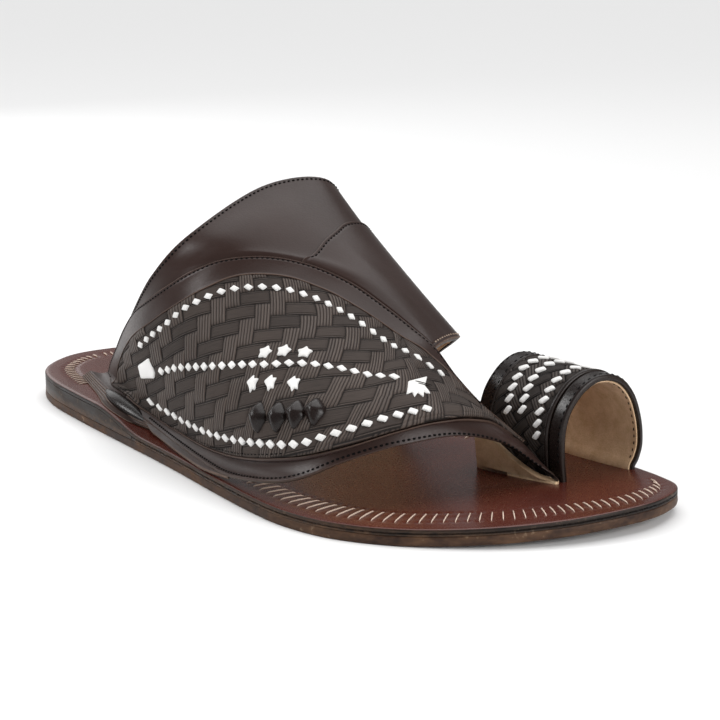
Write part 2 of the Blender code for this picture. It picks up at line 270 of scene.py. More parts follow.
panelFace, bandFace = upperSurfaces()

ring = {
    "back": {"x": 68.5, "y": 38.0, "halfWidth": 16.2, "top": 40.5, "skew": 3.0},
    "front": {"x": 107.3, "y": 37.4, "halfWidth": 15.5, "top": 39.5, "skew": 3.9},
    "arch": [
        (-0.95, 0), (-0.95, 0.06), (-0.99, 0.22), (-1, 0.45), (-0.93, 0.63), (-0.77, 0.78), (-0.45, 0.93),
        (-0.05, 1), (0.42, 0.95), (0.76, 0.78), (0.95, 0.53), (1, 0.29), (0.92, 0.14), (0.82, 0.06), (0.82, 0),
    ],
    "rows": 80, "columns": 240, "slitDepth": 1.2,
    # shares of the ring's width, then heights and insets in millimetres
    "weaveFrom": 0.155, "weaveTo": 0.80, "beadTo": 0.845, "frontFrom": 0.85, "border": 0.8, "bead": 1.3,
    "liningInset": 2.0, "wall": 2.0, "groupWidth": 4.2, "rowPitch": 3.9, "weaveHeight": 0.7,
}


def ringSurface():
    # an arch profile carried from the back size to the front size; each point's height is a share of the way
    # from its foot in the insole to the ring's top
    profile = evenly([(a, h, 0.0) for a, h in ring["arch"]], ring["columns"] + 1)
    across, up = profile[None, :, 0], profile[None, :, 1]
    share = np.linspace(0.0, 1.0, ring["rows"] + 1)[:, None]
    size = {key: (1 - share) * ring["back"][key] + share * ring["front"][key] for key in ring["back"]}
    x = size["x"] + size["skew"] * across
    y = size["y"] + size["halfWidth"] * across
    foot = insoleTop(x) - ring["slitDepth"]
    return Surface(np.stack([x, y, foot + (size["top"] - foot) * up], axis=-1))


ringFace = ringSurface()
print("surfaces worked out")


# Meshes

def gridQuads(rows, cols):
    number = np.arange(rows * cols).reshape(rows, cols)
    return np.stack([number[:-1, :-1], number[1:, :-1], number[1:, 1:], number[:-1, 1:]], axis=-1)


def tubeQuads(number):
    # faces between rings of corner numbers
    a, b = number[:-1], number[1:]
    return np.stack([a, np.roll(a, -1, axis=1), np.roll(b, -1, axis=1), b], axis=-1)


def closedSkin(top, bottom, quads):
    # the top faces, the same faces below turned round, and a wall along every edge that only one face uses
    count = len(top)
    start, end = quads.ravel(), np.roll(quads, -1, axis=1).ravel()
    lone = ~np.isin(start * count + end, end * count + start)
    start, end = start[lone], end[lone]
    wall = np.column_stack([end, start, start + count, end + count])
    return np.vstack([top, bottom]), [(quads, 0), (quads[:, ::-1] + count, 1), (wall, 2)]


def coarseBacked(top, bottom, step):
    # a fine top grid over a bottom grid of every step-th point; the wall's faces each take step edges of the top
    rows, cols = top.shape[:2]
    low = bottom[::step, ::step]
    number = np.arange(rows * cols).reshape(rows, cols)
    under = rows * cols + np.arange(low.shape[0] * low.shape[1]).reshape(low.shape[:2])

    def border(line, base, back):
        chunks = np.stack([line[k:len(line) - step + k:step] for k in range(step + 1)], axis=1)
        if back:
            return np.column_stack([chunks[:, ::-1], base[:-1], base[1:]])
        return np.column_stack([chunks, base[1:], base[:-1]])

    walls = np.vstack([border(number[:, 0], under[:, 0], True), border(number[:, -1], under[:, -1], False),
                       border(number[0], under[0], False), border(number[-1], under[-1], True)])
    lowQuads = gridQuads(*low.shape[:2]).reshape(-1, 4)[:, ::-1] + rows * cols
    points = np.vstack([top.reshape(-1, 3), low.reshape(-1, 3)])
    return points, [(gridQuads(rows, cols).reshape(-1, 4), 0), (lowQuads, 1), (walls, 2)]


def addPiece(name, points, faces, finishList, values=None, replaces=()):
    # faces is a list of (corner numbers, which finish); points are millimetres
    corners = np.concatenate([f.ravel() for f, _ in faces]).astype(np.int32)
    sizes = np.concatenate([np.full(len(f), f.shape[1]) for f, _ in faces])
    kinds = np.concatenate([np.full(len(f), min(k, len(finishList) - 1)) for f, k in faces]).astype(np.int32)
    mesh = bpy.data.meshes.new(name)
    mesh.vertices.add(len(points))
    mesh.vertices.foreach_set("co", (points * mm).astype(np.float32).ravel())
    mesh.loops.add(len(corners))
    mesh.polygons.add(len(sizes))
    mesh.polygons.foreach_set("loop_start", np.r_[0, np.cumsum(sizes)[:-1]].astype(np.int32))
    mesh.polygons.foreach_set("vertices", corners)
    for finish in finishList:
        mesh.materials.append(finishes[finish])
    mesh.polygons.foreach_set("material_index", kinds)
    mesh.update(calc_edges=True)
    for key, value in (values or {}).items():
        mesh.attributes.new(key, "FLOAT", "POINT").data.foreach_set("value", value.astype(np.float32))
    mesh.shade_smooth()
    piece = bpy.data.objects.new(name, mesh)
    bpy.context.scene.collection.objects.link(piece)
    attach(piece, "root")
    if replaces:
        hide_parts(*replaces)
    print("made", name, len(mesh.polygons), "faces")


def edged(height, radius, distance):
    # a flat top that falls off in a quarter circle within one radius of its edge
    near = 1.0 - np.clip(distance / radius, 0.0, 1.0)
    return height - radius + radius * np.sqrt(np.maximum(1.0 - near ** 2, 0.0))


def patchOf(points, facing, where=None):
    # a piece of surface with the distances from its four sides
    across, along = distances(points, 1), distances(points, 0)
    return {"points": points, "normals": facing, "where": where, "low": across, "high": across[:, -1:] - across,
            "start": along, "end": along[-1:] - along}


def gridPatch(surface, rows, cols):
    return patchOf(*surface.read(*np.meshgrid(rows, cols, indexing="ij")))


def nearSide(p, *sides):
    return np.minimum.reduce([p[side] for side in sides])


def raised(p, over):
    # the patch's points moved out along the normals
    return p["points"] + p["normals"] * (np.zeros_like(p["low"]) + over)[..., None]


def padded(name, p, over, under, finishList, slotName, wearAndHighlight=None, replaces=()):
    # a closed skin over a patch, between two heights above the surface
    quads = gridQuads(*p["low"].shape).reshape(-1, 4)
    skin, faces = closedSkin(raised(p, over).reshape(-1, 3), raised(p, under).reshape(-1, 3), quads)
    values = None if wearAndHighlight is None else {"wearAndHighlight": np.tile(wearAndHighlight.ravel(), 2)}
    addPiece(name, skin, faces, finishList, values, replaces)


def seamLine(p, side, distance, over=0.0):
    # the line at one distance from a side of a patch, on its raised top, with its normals
    far, top, facing = p[side], raised(p, over), p["normals"]
    if side in ("start", "end"):
        far, top, facing = far.T, top.transpose(1, 0, 2), facing.transpose(1, 0, 2)
    sign = -1 if side in ("high", "end") else 1
    at = np.array([np.interp(sign * distance, sign * line, np.arange(len(line))) for line in far])
    rows = np.arange(len(at)).astype(float)
    return readGrid(top, rows, at), unit(readGrid(facing, rows, at))


# Finishes

class Recipe:
    # writes a node tree; every call but node gives back the socket that the next one uses
    def __init__(self, tree):
        self.tree = tree

    def node(self, kind, inputs, **settings):
        made = self.tree.nodes.new("ShaderNode" + kind)
        for key, value in settings.items():
            setattr(made, key, value)
        self.fill(made, inputs)
        return made

    def fill(self, node, inputs):
        for key, value in inputs.items():
            if isinstance(value, bpy.types.NodeSocket):
                self.tree.links.new(value, node.inputs[key])
            else:
                node.inputs[key].default_value = value

    def calc(self, operation, a, b=0.0, c=0.0, clamp=False):
        return self.node("Math", {0: a, 1: b, 2: c}, operation=operation, use_clamp=clamp).outputs[0]

    def times(self, a, b):
        return self.calc("MULTIPLY", a, b)

    def less(self, a, b):
        return self.calc("SUBTRACT", a, b)

    def weighted(self, *terms):
        # the sum of values times weights
        total = self.times(*terms[0])
        for value, weight in terms[1:]:
            total = self.calc("MULTIPLY_ADD", value, weight, total)
        return total

    def ramp(self, value, low, high, start=0.0, end=1.0, smooth=False):
        return self.node("MapRange", {0: value, 1: low, 2: high, 3: start, 4: end},
                         interpolation_type="SMOOTHSTEP" if smooth else "LINEAR").outputs[0]

    def place(self):
        return self.node("TexCoord", {}).outputs["Object"]

    def attribute(self, name):
        return self.node("Attribute", {}, attribute_name=name).outputs["Fac"]

    def noise(self, place, scale, detail, distortion=0.0):
        inputs = {"Vector": place, "Scale": scale, "Detail": detail, "Distortion": distortion}
        return self.node("TexNoise", inputs).outputs[0]

    def flat(self, x, y, z=0.0):
        return self.node("CombineXYZ", {0: x, 1: y, 2: z}).outputs[0]

    def colour(self, share, a, b):
        a, b = (value if isinstance(value, bpy.types.NodeSocket) else (*value, 1.0) for value in (a, b))
        return self.node("Mix", {0: share, 6: a, 7: b}, data_type="RGBA").outputs[2]

    def vector(self, share, a, b):
        return self.node("Mix", {0: share, 4: a, 5: b}, data_type="VECTOR").outputs[1]

    def relief(self, height, strength, distance):
        return self.node("Bump", {"Height": height, "Strength": strength, "Distance": distance}).outputs[0]

    def group(self, tree, **inputs):
        return self.node("Group", inputs, node_tree=tree).outputs


def newGroup(name, inputs, outputs):
    tree = bpy.data.node_groups.new(name, "ShaderNodeTree")
    for key, value in inputs.items():
        socket = tree.interface.new_socket(name=key, in_out="INPUT", socket_type="NodeSocketFloat")
        socket.default_value = value
    for key in outputs:
        tree.interface.new_socket(name=key, in_out="OUTPUT", socket_type="NodeSocketFloat")
    return Recipe(tree), tree.nodes.new("NodeGroupInput").outputs, tree.nodes.new("NodeGroupOutput")


def leatherGrainGroup():
    # pores from small cells, soft creases from stretched noise, and slow cloudy tone
    made, given, out = newGroup("leatherGrain", {"Pore": 1600.0, "Crease": 120.0, "Cloud": 28.0},
                                ["Height", "Cloud", "Speck"])
    place = made.place()
    cells = made.node("TexVoronoi", {"Vector": place, "Scale": given["Pore"]}, feature="SMOOTH_F1")
    fine = made.noise(place, given["Pore"], 3.0)
    crease = made.noise(place, given["Crease"], 4.0, 0.6)
    height = made.weighted((cells.outputs["Distance"], 0.35), (fine, 0.3), (crease, 1.1))
    made.fill(out, {"Height": height, "Cloud": made.noise(place, given["Cloud"], 3.0), "Speck": fine})
    return made.tree


def edgeWearAndHighlightGroup():
    # how much pale edge colour shows, for worn cut edge and painted highlight: the piece's own value, broken up by
    # noise
    made, given, out = newGroup("edgeWearAndHighlight", {"Noise": 500.0}, ["WearAndHighlight"])
    broken = made.calc("MULTIPLY_ADD", made.noise(made.place(), given["Noise"], 2.0), 0.8, 0.6)
    made.fill(out, {"WearAndHighlight": made.calc("MULTIPLY", made.attribute("wearAndHighlight"), broken, clamp=True)})
    return made.tree


def twillGroup():
    # U counts upright strand groups, V counts rows. In each row a flat bar runs over two groups and under two, one
    # group further on in every row. A bar has a thin ridge along both long sides; a group is of round strands
    made, given, out = newGroup("twill", {"U": 0.0, "V": 0.0, "Strands": 5.0}, ["Height", "Streak", "Tone"])
    u, v = given["U"], given["V"]
    warp, weft = made.calc("FLOOR", u), made.calc("FLOOR", v)
    isBar = made.calc("LESS_THAN", made.calc("FLOORED_MODULO", made.less(warp, weft), 4.0), 1.5)
    offBar = made.less(u, weft)
    offGroup = made.calc("ADD", made.less(v, warp), 3.0)

    def ends(offset):
        centred = made.calc("ABSOLUTE", made.less(made.calc("FLOORED_MODULO", offset, 4.0), 1.0))
        return made.less(1.0, made.calc("POWER", made.calc("MINIMUM", centred, 1.0), 16.0))

    across = made.calc("FRACT", v)
    side = made.calc("MINIMUM", across, made.less(1.0, across))
    ridge = made.ramp(made.calc("ABSOLUTE", made.less(side, 0.085)), 0.0, 0.055, 1.0, 0.0, smooth=True)
    body = made.ramp(side, 0.13, 0.2, 0.15, 0.5, smooth=True)
    bar = made.times(made.calc("MAXIMUM", body, ridge), ends(offBar))
    strand = made.times(u, given["Strands"])
    hollow = made.calc("ABSOLUTE", made.less(made.times(made.calc("FRACT", strand), 2.0), 1.0))
    rounded = made.less(1.0, made.times(made.calc("POWER", hollow, 2.5), 0.9))
    height = made.node("Mix", {0: isBar, 2: made.times(rounded, ends(offGroup)), 3: bar}).outputs[0]
    cellBar = made.flat(made.calc("FLOOR", made.times(offBar, 0.25)), weft)
    cellGroup = made.flat(made.calc("FLOOR", strand), made.calc("FLOOR", made.times(offGroup, 0.25)), 7.0)
    tone = made.node("TexWhiteNoise", {0: made.vector(isBar, cellGroup, cellBar)}, noise_dimensions="3D")
    alongBar = made.flat(made.times(u, 0.9), made.times(v, 24.0))
    alongGroup = made.flat(made.times(u, 30.0), made.times(v, 1.2))
    streak = made.noise(made.vector(isBar, alongGroup, alongBar), 1.0, 3.0)
    made.fill(out, {"Height": height, "Streak": streak, "Tone": tone.outputs[0]})
    return made.tree


grainGroup = leatherGrainGroup()
wearAndHighlightGroup = edgeWearAndHighlightGroup()
twill = twillGroup()


def newFinish(name, colour, roughness, constants):
    made = bpy.data.materials.new(name)
    made.use_nodes = True
    made.diffuse_color = (*colour, 1.0)
    shader = made.node_tree.nodes["Principled BSDF"]
    recipe = Recipe(made.node_tree)
    recipe.fill(shader, {"Base Color": (*colour, 1.0), "Roughness": roughness, **constants})
    return made, recipe, shader


def smoothLeather(name, dark, light, edge, roughness, bump=0.12, pore=1600.0, **constants):
    # cloudy tone between two colours, pale along edges for worn cut edge and painted highlight, with fine pores
    made, recipe, shader = newFinish(name, dark, roughness, constants)
    grain = recipe.group(grainGroup, Pore=pore)
    wearAndHighlight = recipe.group(wearAndHighlightGroup)["WearAndHighlight"]
    colour = recipe.colour(recipe.ramp(grain["Cloud"], 0.35, 0.68), dark, light)
    rough = recipe.ramp(grain["Speck"], 0.3, 0.7, roughness - 0.05, roughness + 0.08)
    recipe.fill(shader, {"Base Color": recipe.colour(wearAndHighlight, colour, edge),
                         "Roughness": recipe.calc("MULTIPLY_ADD", wearAndHighlight, 0.3, rough),
                         "Normal": recipe.relief(grain["Height"], bump, 0.0004)})
    return made


def wovenLeather(name, gap, dark, light, roughness, strands, depth, **constants):
    # the twill's height paints shade into the gaps and a highlight on the raised strand tops; every strand has its own
    # tone and streaks running along it
    made, recipe, shader = newFinish(name, dark, roughness, constants)
    weave = recipe.group(twill, U=recipe.attribute("warp"), V=recipe.attribute("weft"), Strands=strands)
    grain = recipe.group(grainGroup)
    height, streak = weave["Height"], weave["Streak"]
    # painted highlight: raised strand tops and ridges are lighter, by the square of the twill's height
    share = recipe.weighted((weave["Tone"], 0.25), (streak, 0.75), (grain["Cloud"], 0.3),
                            (recipe.calc("POWER", height, 2.0), 0.65))
    colour = recipe.colour(recipe.ramp(share, 0.6, 1.5), dark, light)
    relief = recipe.weighted((height, 1.0), (streak, 0.35), (grain["Height"], 0.12))
    # painted shade: low places between strands take the dark gap colour
    recipe.fill(shader, {"Base Color": recipe.colour(recipe.ramp(height, 0.08, 0.42, smooth=True), gap, colour),
                         "Roughness": recipe.ramp(height, 0.2, 1.0, 0.85, roughness),
                         "Normal": recipe.relief(relief, 1.0, depth)})
    return made


def suede(name, dark, light, **constants):
    # short nap: fine noise over brushed clouds
    made, recipe, shader = newFinish(name, dark, 0.95, constants)
    place = recipe.place()
    nap, spots = recipe.noise(place, 1900.0, 4.0), recipe.noise(place, 420.0, 3.0)
    share = recipe.weighted((recipe.noise(place, 85.0, 5.0, 1.2), 0.6), (nap, 0.3), (spots, 0.25))
    recipe.fill(shader, {"Base Color": recipe.colour(recipe.ramp(share, 0.38, 0.8), dark, light),
                         "Normal": recipe.relief(recipe.weighted((nap, 1.0), (spots, 0.8)), 0.4, 0.0003)})
    return made


def cutEdge(name, dark, light, speck, stretch, roughness=0.5, foot=None, **constants):
    # the burnished side of a leather layer: fibres lying flat, stains, and rubbed pale specks; a foot colour creeps
    # up from the ground
    made, recipe, shader = newFinish(name, dark, roughness, constants)
    place = recipe.place()
    flat = recipe.node("Mapping", {"Vector": place, "Scale": (1.0, 1.0, stretch)}).outputs[0]
    stains, fibre = recipe.noise(flat, 75.0, 6.0, 0.8), recipe.noise(flat, 420.0, 4.0)
    share = recipe.weighted((stains, 0.75), (fibre, 0.35))
    tone = recipe.ramp(share, 0.40, 0.72)
    colour = recipe.colour(tone, dark, light)
    if foot:
        height = recipe.node("SeparateXYZ", {0: place}).outputs["Z"]
        ragged = recipe.calc("MULTIPLY_ADD", stains, 0.006, height)
        creep = recipe.ramp(ragged, 0.0065, 0.0095, 1.0, 0.0, smooth=True)
        colour = recipe.colour(creep, colour, recipe.colour(tone, dark, foot))
    rubbed = recipe.ramp(recipe.times(recipe.noise(place, 650.0, 2.0), stains), 0.36, 0.44)
    # pale in rubbed specks, and where the piece's edge value is set: worn cut edge and painted highlight
    pale = recipe.calc("MAXIMUM", recipe.times(rubbed, 0.5), recipe.group(wearAndHighlightGroup)["WearAndHighlight"])
    recipe.fill(shader, {"Base Color": recipe.colour(pale, colour, speck),
                         "Roughness": recipe.ramp(stains, 0.3, 0.7, roughness - 0.1, roughness + 0.15),
                         "Normal": recipe.relief(share, 0.5, 0.0004)})
    return made


def threadFinish(name, colour, shade, **constants):
    # twisted plies as slanting bands
    made, recipe, shader = newFinish(name, colour, 0.6, constants)
    bands = recipe.node("TexWave", {"Vector": recipe.place(), "Scale": 900.0, "Distortion": 2.0},
                        bands_direction="DIAGONAL")
    twist = bands.outputs["Fac"]
    recipe.fill(shader, {"Base Color": recipe.colour(twist, colour, shade),
                         "Normal": recipe.relief(twist, 0.3, 0.0002)})
    return made


def shine(level):
    return {"Specular IOR Level": level}


finishes = {
    # the third colour of each smooth leather shows where a piece's edge value is set: worn cut edge and painted
    # highlight
    "plain": smoothLeather("plainLeather", (0.024, 0.0125, 0.010), (0.034, 0.019, 0.016), (0.15, 0.10, 0.075), 0.33,
                           **shine(0.2)),
    "ring": smoothLeather("ringLeather", (0.007, 0.004, 0.0035), (0.012, 0.007, 0.006), (0.10, 0.07, 0.05), 0.28,
                          **shine(0.28)),
    # the first colour of each woven finish is painted shade for the gaps between strands
    "woven": wovenLeather("wovenLeather", (0.007, 0.0048, 0.004), (0.021, 0.0142, 0.0115), (0.080, 0.058, 0.047),
                          0.48, 5.0, 0.0003, **shine(0.28)),
    "ringWoven": wovenLeather("ringWoven", (0.003, 0.002, 0.002), (0.010, 0.0065, 0.0055), (0.055, 0.041, 0.034),
                              0.46, 4.0, 0.0004, **shine(0.28)),
    "white": smoothLeather("whiteLacing", (0.72, 0.71, 0.69), (0.84, 0.83, 0.82), (0.84, 0.83, 0.82), 0.5,
                           bump=0.08),
    "insole": smoothLeather("burgundyLeather", (0.060, 0.0125, 0.0075), (0.086, 0.019, 0.0115), (0.03, 0.02, 0.018),
                            0.27, bump=0.008, pore=2200.0,
                            **{"Specular IOR Level": 0.32, "Coat Weight": 0.06, "Coat Roughness": 0.18}),
    "suede": suede("tanSuede", (0.46, 0.29, 0.16), (0.80, 0.58, 0.37),
                   **{"Sheen Weight": 0.1, "Sheen Roughness": 0.5}),
    "edge": cutEdge("darkEdge", (0.007, 0.005, 0.0045), (0.030, 0.019, 0.014), (0.11, 0.075, 0.05), 3.0, 0.42,
                    foot=(0.13, 0.07, 0.038), **shine(0.2)),
    "sole": cutEdge("brownSoleEdge", (0.024, 0.011, 0.007), (0.105, 0.055, 0.030), (0.30, 0.21, 0.14), 2.0,
                    **shine(0.2)),
    "darkThread": threadFinish("darkThread", (0.003, 0.0025, 0.0025), (0.0015, 0.001, 0.001), **shine(0.08)),
    "tanThread": threadFinish("tanThread", (0.33, 0.24, 0.18), (0.20, 0.14, 0.10)),
    "creamThread": threadFinish("creamThread", (0.72, 0.57, 0.47), (0.54, 0.41, 0.33)),
}
print("finishes made")


# Sole

layers = {"stations": 480, "insoleStations": 640, "middle": 6, "insoleMiddle": 14}
insoleStitch = {
    "length": 7.6, "pitch": 4.3, "width": 0.42, "height": 0.3, "inset": 6.0, "lean": 0.12, "slant": 0.5,
    "pucker": 0.28, "puckerSpread": 1.1, "ridge": 0.12, "ridgeSpread": 6.0,
}


def outlineLoop(stations):
    # outer and inner side of the outline read at the same places, closer together at heel and toe, joined to a
    # loop, and the direction inwards at every point
    fine = through(sole["outline"], 24, closed=True)
    fine = np.roll(fine, -int(np.argmin(fine[:, 0])), axis=0)
    toe = int(np.argmax(fine[:, 0]))
    turn = np.cos(np.linspace(0.0, np.pi, stations + 1))
    x = (fine[0, 0] + fine[toe, 0]) / 2 - (fine[toe, 0] - fine[0, 0]) / 2 * turn
    outer, inner = fine[:toe + 1], np.vstack([fine[toe:], fine[:1]])[::-1]
    outer, inner = (np.column_stack([x, np.interp(x, *side.T)]) for side in (outer, inner))
    loop = np.vstack([outer, inner[1:-1][::-1]])
    tangent = np.roll(loop, -1, axis=0) - np.roll(loop, 1, axis=0)
    for _ in range(6):
        tangent = (np.roll(tangent, 1, axis=0) + tangent + np.roll(tangent, -1, axis=0)) / 3
    tangent = unit(tangent)
    return loop, np.column_stack([-tangent[:, 1], tangent[:, 0]])


def soleLayer(name, levels, finishList, stations, middle, replaces, dents=None):
    # rings of the outline, each drawn in by an inset and set at a height, then straight lines across the middle
    loop, inward = outlineLoop(stations)
    flat = [loop + inward * inset for inset, _, _ in levels]
    rings = np.array([np.column_stack([one, height(one[:, 0]) + lift])
                      for one, (_, height, lift) in zip(flat, levels)])
    if dents:
        dents(rings, levels)
    number = np.arange(len(levels) * len(loop)).reshape(len(levels), -1)
    sides = tubeQuads(number)
    wall = np.array([max(levels[k][0], levels[k + 1][0]) < 0.35 for k in range(len(levels) - 1)])
    points, faces = [rings.reshape(-1, 3)], [(sides[~wall].reshape(-1, 4), 0), (sides[wall].reshape(-1, 4), 2)]
    share = np.linspace(0.0, 1.0, middle + 1)[1:-1][None, :, None]
    for level, rising in ((0, False), (len(levels) - 1, True)):
        fill = rings[level, 1:stations][:, None] * (1 - share) + rings[level, :stations:-1][:, None] * share
        fill[..., 2] = levels[level][1](fill[..., 0]) + levels[level][2]
        inside = sum(len(p) for p in points) + np.arange(fill.shape[0] * fill.shape[1]).reshape(fill.shape[:2])
        outer, inner = number[level, 1:stations], number[level, :stations:-1]
        table = np.column_stack([outer, inside, inner])
        across = table.ravel()[gridQuads(*table.shape)].reshape(-1, 4)
        heelEnd, toeEnd = (np.full(middle, number[level, k]) for k in (0, stations))
        heel = np.column_stack([heelEnd, table[0, :-1], table[0, 1:]])
        toe = np.column_stack([table[-1, :-1], toeEnd, table[-1, 1:]])
        faces += [(quads if rising else quads[:, ::-1], 1) for quads in (across, heel, toe)]
        points.append(fill.reshape(-1, 3))
    addPiece(name, np.vstack(points), faces, finishList, replaces=[replaces])


def ovalSide(under, over, corner, bulge=0.0):
    # a cut edge with both corners rounded and its middle swelling slightly: (inset, height, lift) of every ring
    turn = np.linspace(0.0, np.pi / 2, 5)
    low = [(corner * (1 - np.sin(a)), under, corner * (1 - np.cos(a))) for a in turn]
    high = [(inset, over, -lift) for inset, _, lift in low[::-1]]
    middle = [(-bulge, under, 1.2)]
    return [(12.0, under, 0.0), (5.0, under, 0.0)] + low + middle + high + [(5.0, over, 0.0), (12.0, over, 0.0)]


def seamInset(points):
    # the stitches' distance from the outline: wider under the toes and round the heel, close again past the tip
    x, y = points.T
    wide = 2.2 * smoothStep((x - 88) / 34) + 1.5 * smoothStep((-90 - x) / 25)
    return insoleStitch["inset"] + wide - 2.8 * smoothStep((y + 6) / 24) * smoothStep((x - 105) / 25)


def stitchFeet():
    # points round the outline, closer together round the heel, each stitch running inwards with a slight lean
    loop, inward = outlineLoop(700)
    loop, inward = (np.vstack([table, table[:1]]) for table in (loop, inward))
    density = 1 + 0.35 * smoothStep((-78 - loop[:, 0]) / 20)
    far = np.r_[0.0, np.cumsum(np.diff(travelled(loop)) * density[1:])]
    wanted = np.linspace(0.0, far[-1], int(far[-1] / insoleStitch["pitch"]), endpoint=False)
    at, normal = readAt(wanted, far, loop), unit(readAt(wanted, far, inward))
    # spaced anew along the middle of the stitches, so that they keep apart round the tip of the toe
    middle = at + normal * (insoleStitch["length"] / 2 + seamInset(at))[:, None]
    density = 1 + 0.6 * smoothStep((-78 - middle[:, 0]) / 20) + 0.2 * smoothStep((middle[:, 0] - 30) / 70)
    density = density + 0.3 * smoothStep((middle[:, 0] - 112) / 16)
    far = np.r_[0.0, np.cumsum(np.diff(travelled(middle)) * density[1:])]
    wanted = np.arange(0.0, far[-1], insoleStitch["pitch"])
    at, normal = readAt(wanted, far, at), unit(readAt(wanted, far, normal))
    x, y = at.T
    # square to the outline with a small lean; past the tip of the toe they all keep one slant
    slant = np.arctan2(-normal[:, 1], -normal[:, 0]) - insoleStitch["lean"]
    slant = np.where(x > 100, np.minimum(slant, -insoleStitch["slant"]), slant)
    length = insoleStitch["length"] - 3.4 * smoothStep((-70 - x) / 25) - 1.2 * smoothStep((y - 30) / 8)
    length = length + 1.8 * smoothStep((x - 30) / 50) * smoothStep((40 - y) / 20)
    start = at + normal * seamInset(at)[:, None]
    end = start - np.column_stack([np.cos(slant), np.sin(slant)]) * length[:, None]
    # none where the panel's border and the ring cover them
    shown = ~(((y < 0) & (x > -98) & (x < 30)) | ((y > 30) & (x > 58) & (x < 129)))
    return start[shown], end[shown]


stitchStart, stitchEnd = stitchFeet()


def insoleDents(rings, levels):
    # the stitches draw the leather down: a shallow hollow at both ends of each, with a low ridge between neighbours
    ends, middles = np.vstack([stitchStart, stitchEnd]), (stitchStart + stitchEnd) / 2
    for k, (inset, _, lift) in enumerate(levels):
        if inset < 2.5 or inset > 20.0 or lift < 0:
            continue
        for marks, depth, spread in ((ends, insoleStitch["pucker"], insoleStitch["puckerSpread"]),
                                     (middles, insoleStitch["ridge"], insoleStitch["ridgeSpread"])):
            gap = ((rings[k][:, None, :2] - marks[None]) ** 2).sum(-1)
            rings[k][:, 2] -= depth * np.exp(-gap / spread).sum(1)


soleLayer("outsole_leather", ovalSide(groundLine, outsoleTop, 0.5, 0.15), ["sole"],
          layers["stations"], layers["middle"], "outsole")
soleLayer("midsole_leather", ovalSide(outsoleTop, insoleUnder, 0.25), ["edge"],
          layers["stations"], layers["middle"], "midsole")
insoleRings = [(12.0, insoleUnder, 0.0), (4.0, insoleUnder, 0.0), (0.35, insoleUnder, 0.0), (0.1, insoleUnder, 0.1),
               (0.0, insoleUnder, 0.35), (0.0, insoleTop, -0.75), (0.05, insoleTop, -0.5), (0.2, insoleTop, -0.27),
               (0.45, insoleTop, -0.12), (0.8, insoleTop, -0.04), (1.4, insoleTop, 0.0), (2.4, insoleTop, 0.0)]
insoleRings += [(float(inset), insoleTop, 0.0) for inset in np.arange(3.4, 21.0, 0.7)]
soleLayer("insole_leather", insoleRings, ["insole", "insole", "edge"],
          layers["insoleStations"], layers["insoleMiddle"], "insole", insoleDents)


# Stitches

thread = {"pitch": 1.8, "length": 1.2, "width": 0.72, "height": 0.32, "finish": "darkThread",
          "slot": "upper_leather"}
rodShare = np.array([0.0, 0.12, 0.5, 0.88, 1.0])
rodThick = np.array([0.35, 0.85, 1.0, 0.85, 0.35])
rodArch = np.array([-0.9, 0.0, 0.35, 0.0, -0.9])


def addStitches(name, start, end, up, width, height, finish, sink=0.3):
    # each stitch is a six-sided rod that swells in its middle and dips at both ends
    along = end - start
    side = unit(np.cross(up, along))
    turn = np.linspace(0.0, 2 * np.pi, 6, endpoint=False)
    rise = ((rodArch - sink) * height)[None, :, None]
    centre = start[:, None] + along[:, None] * rodShare[None, :, None] + up[:, None] * rise
    ring = side[:, None] * (np.cos(turn) * width / 2)[:, None] + up[:, None] * (np.sin(turn) * height)[:, None]
    points = (centre[:, :, None] + ring[:, None] * rodThick[None, :, None, None]).reshape(-1, 3)
    one = np.arange(len(rodShare) * 6).reshape(-1, 6)
    offset = (np.arange(len(start)) * one.size)[:, None, None]
    faces = [((tubeQuads(one).reshape(-1, 4) + offset).reshape(-1, 4), 0),
             ((np.array([one[0][::-1], one[-1]]) + offset).reshape(-1, 6), 0)]
    addPiece(name, points, faces, [finish])


def lineStitches(line, normals, pitch, length):
    # starts, ends and ups of stitches laid end to end along a line
    far = travelled(line)
    count = max(int(round(far[-1] / pitch)), 1)
    begin = (np.arange(count) + 0.5) * far[-1] / count - length / 2
    middle = unit(readAt(begin + length / 2, far, normals))
    return readAt(begin, far, line), readAt(begin + length, far, line), middle


def threadRows(name, rows, **changed):
    # one piece of thread along one or more lines with their normals
    size = {**thread, **changed}
    rows = [lineStitches(line, facing, size["pitch"], size["length"]) for line, facing in rows]
    start, end, up = (np.vstack([row[k] for row in rows]) for k in range(3))
    addStitches(name, start, end, up, size["width"], size["height"], size["finish"])


def addInsoleStitches():
    start, end = (np.column_stack([flat, insoleTop(flat[:, 0]) + 0.02]) for flat in (stitchStart, stitchEnd))
    up = np.tile([0.0, 0.0, 1.0], (len(start), 1))
    addStitches("insole_stitches", start, end, up, insoleStitch["width"], insoleStitch["height"], "creamThread",
                sink=0.0)


addInsoleStitches()


# Upper: base leather and lining

border = {
    "leather": 1.25, "lining": 1.9, "round": 0.45, "wearAndHighlight": 0.25, "liningInset": 1.5, "liningEnd": 33.0,
    "rows": 124, "tipRows": 45, "panelCols": 66, "bandCols": 80,
}


def trimmed(row, col):
    # the border's lower edge drawn up a little where the panel rises off the sole
    less = upper["trim"] * hump(row / upper["rowSteps"], 9.7, 1.4)
    return np.where(col < upper["borderSteps"], col + less * (1 - col / upper["borderSteps"]), col)


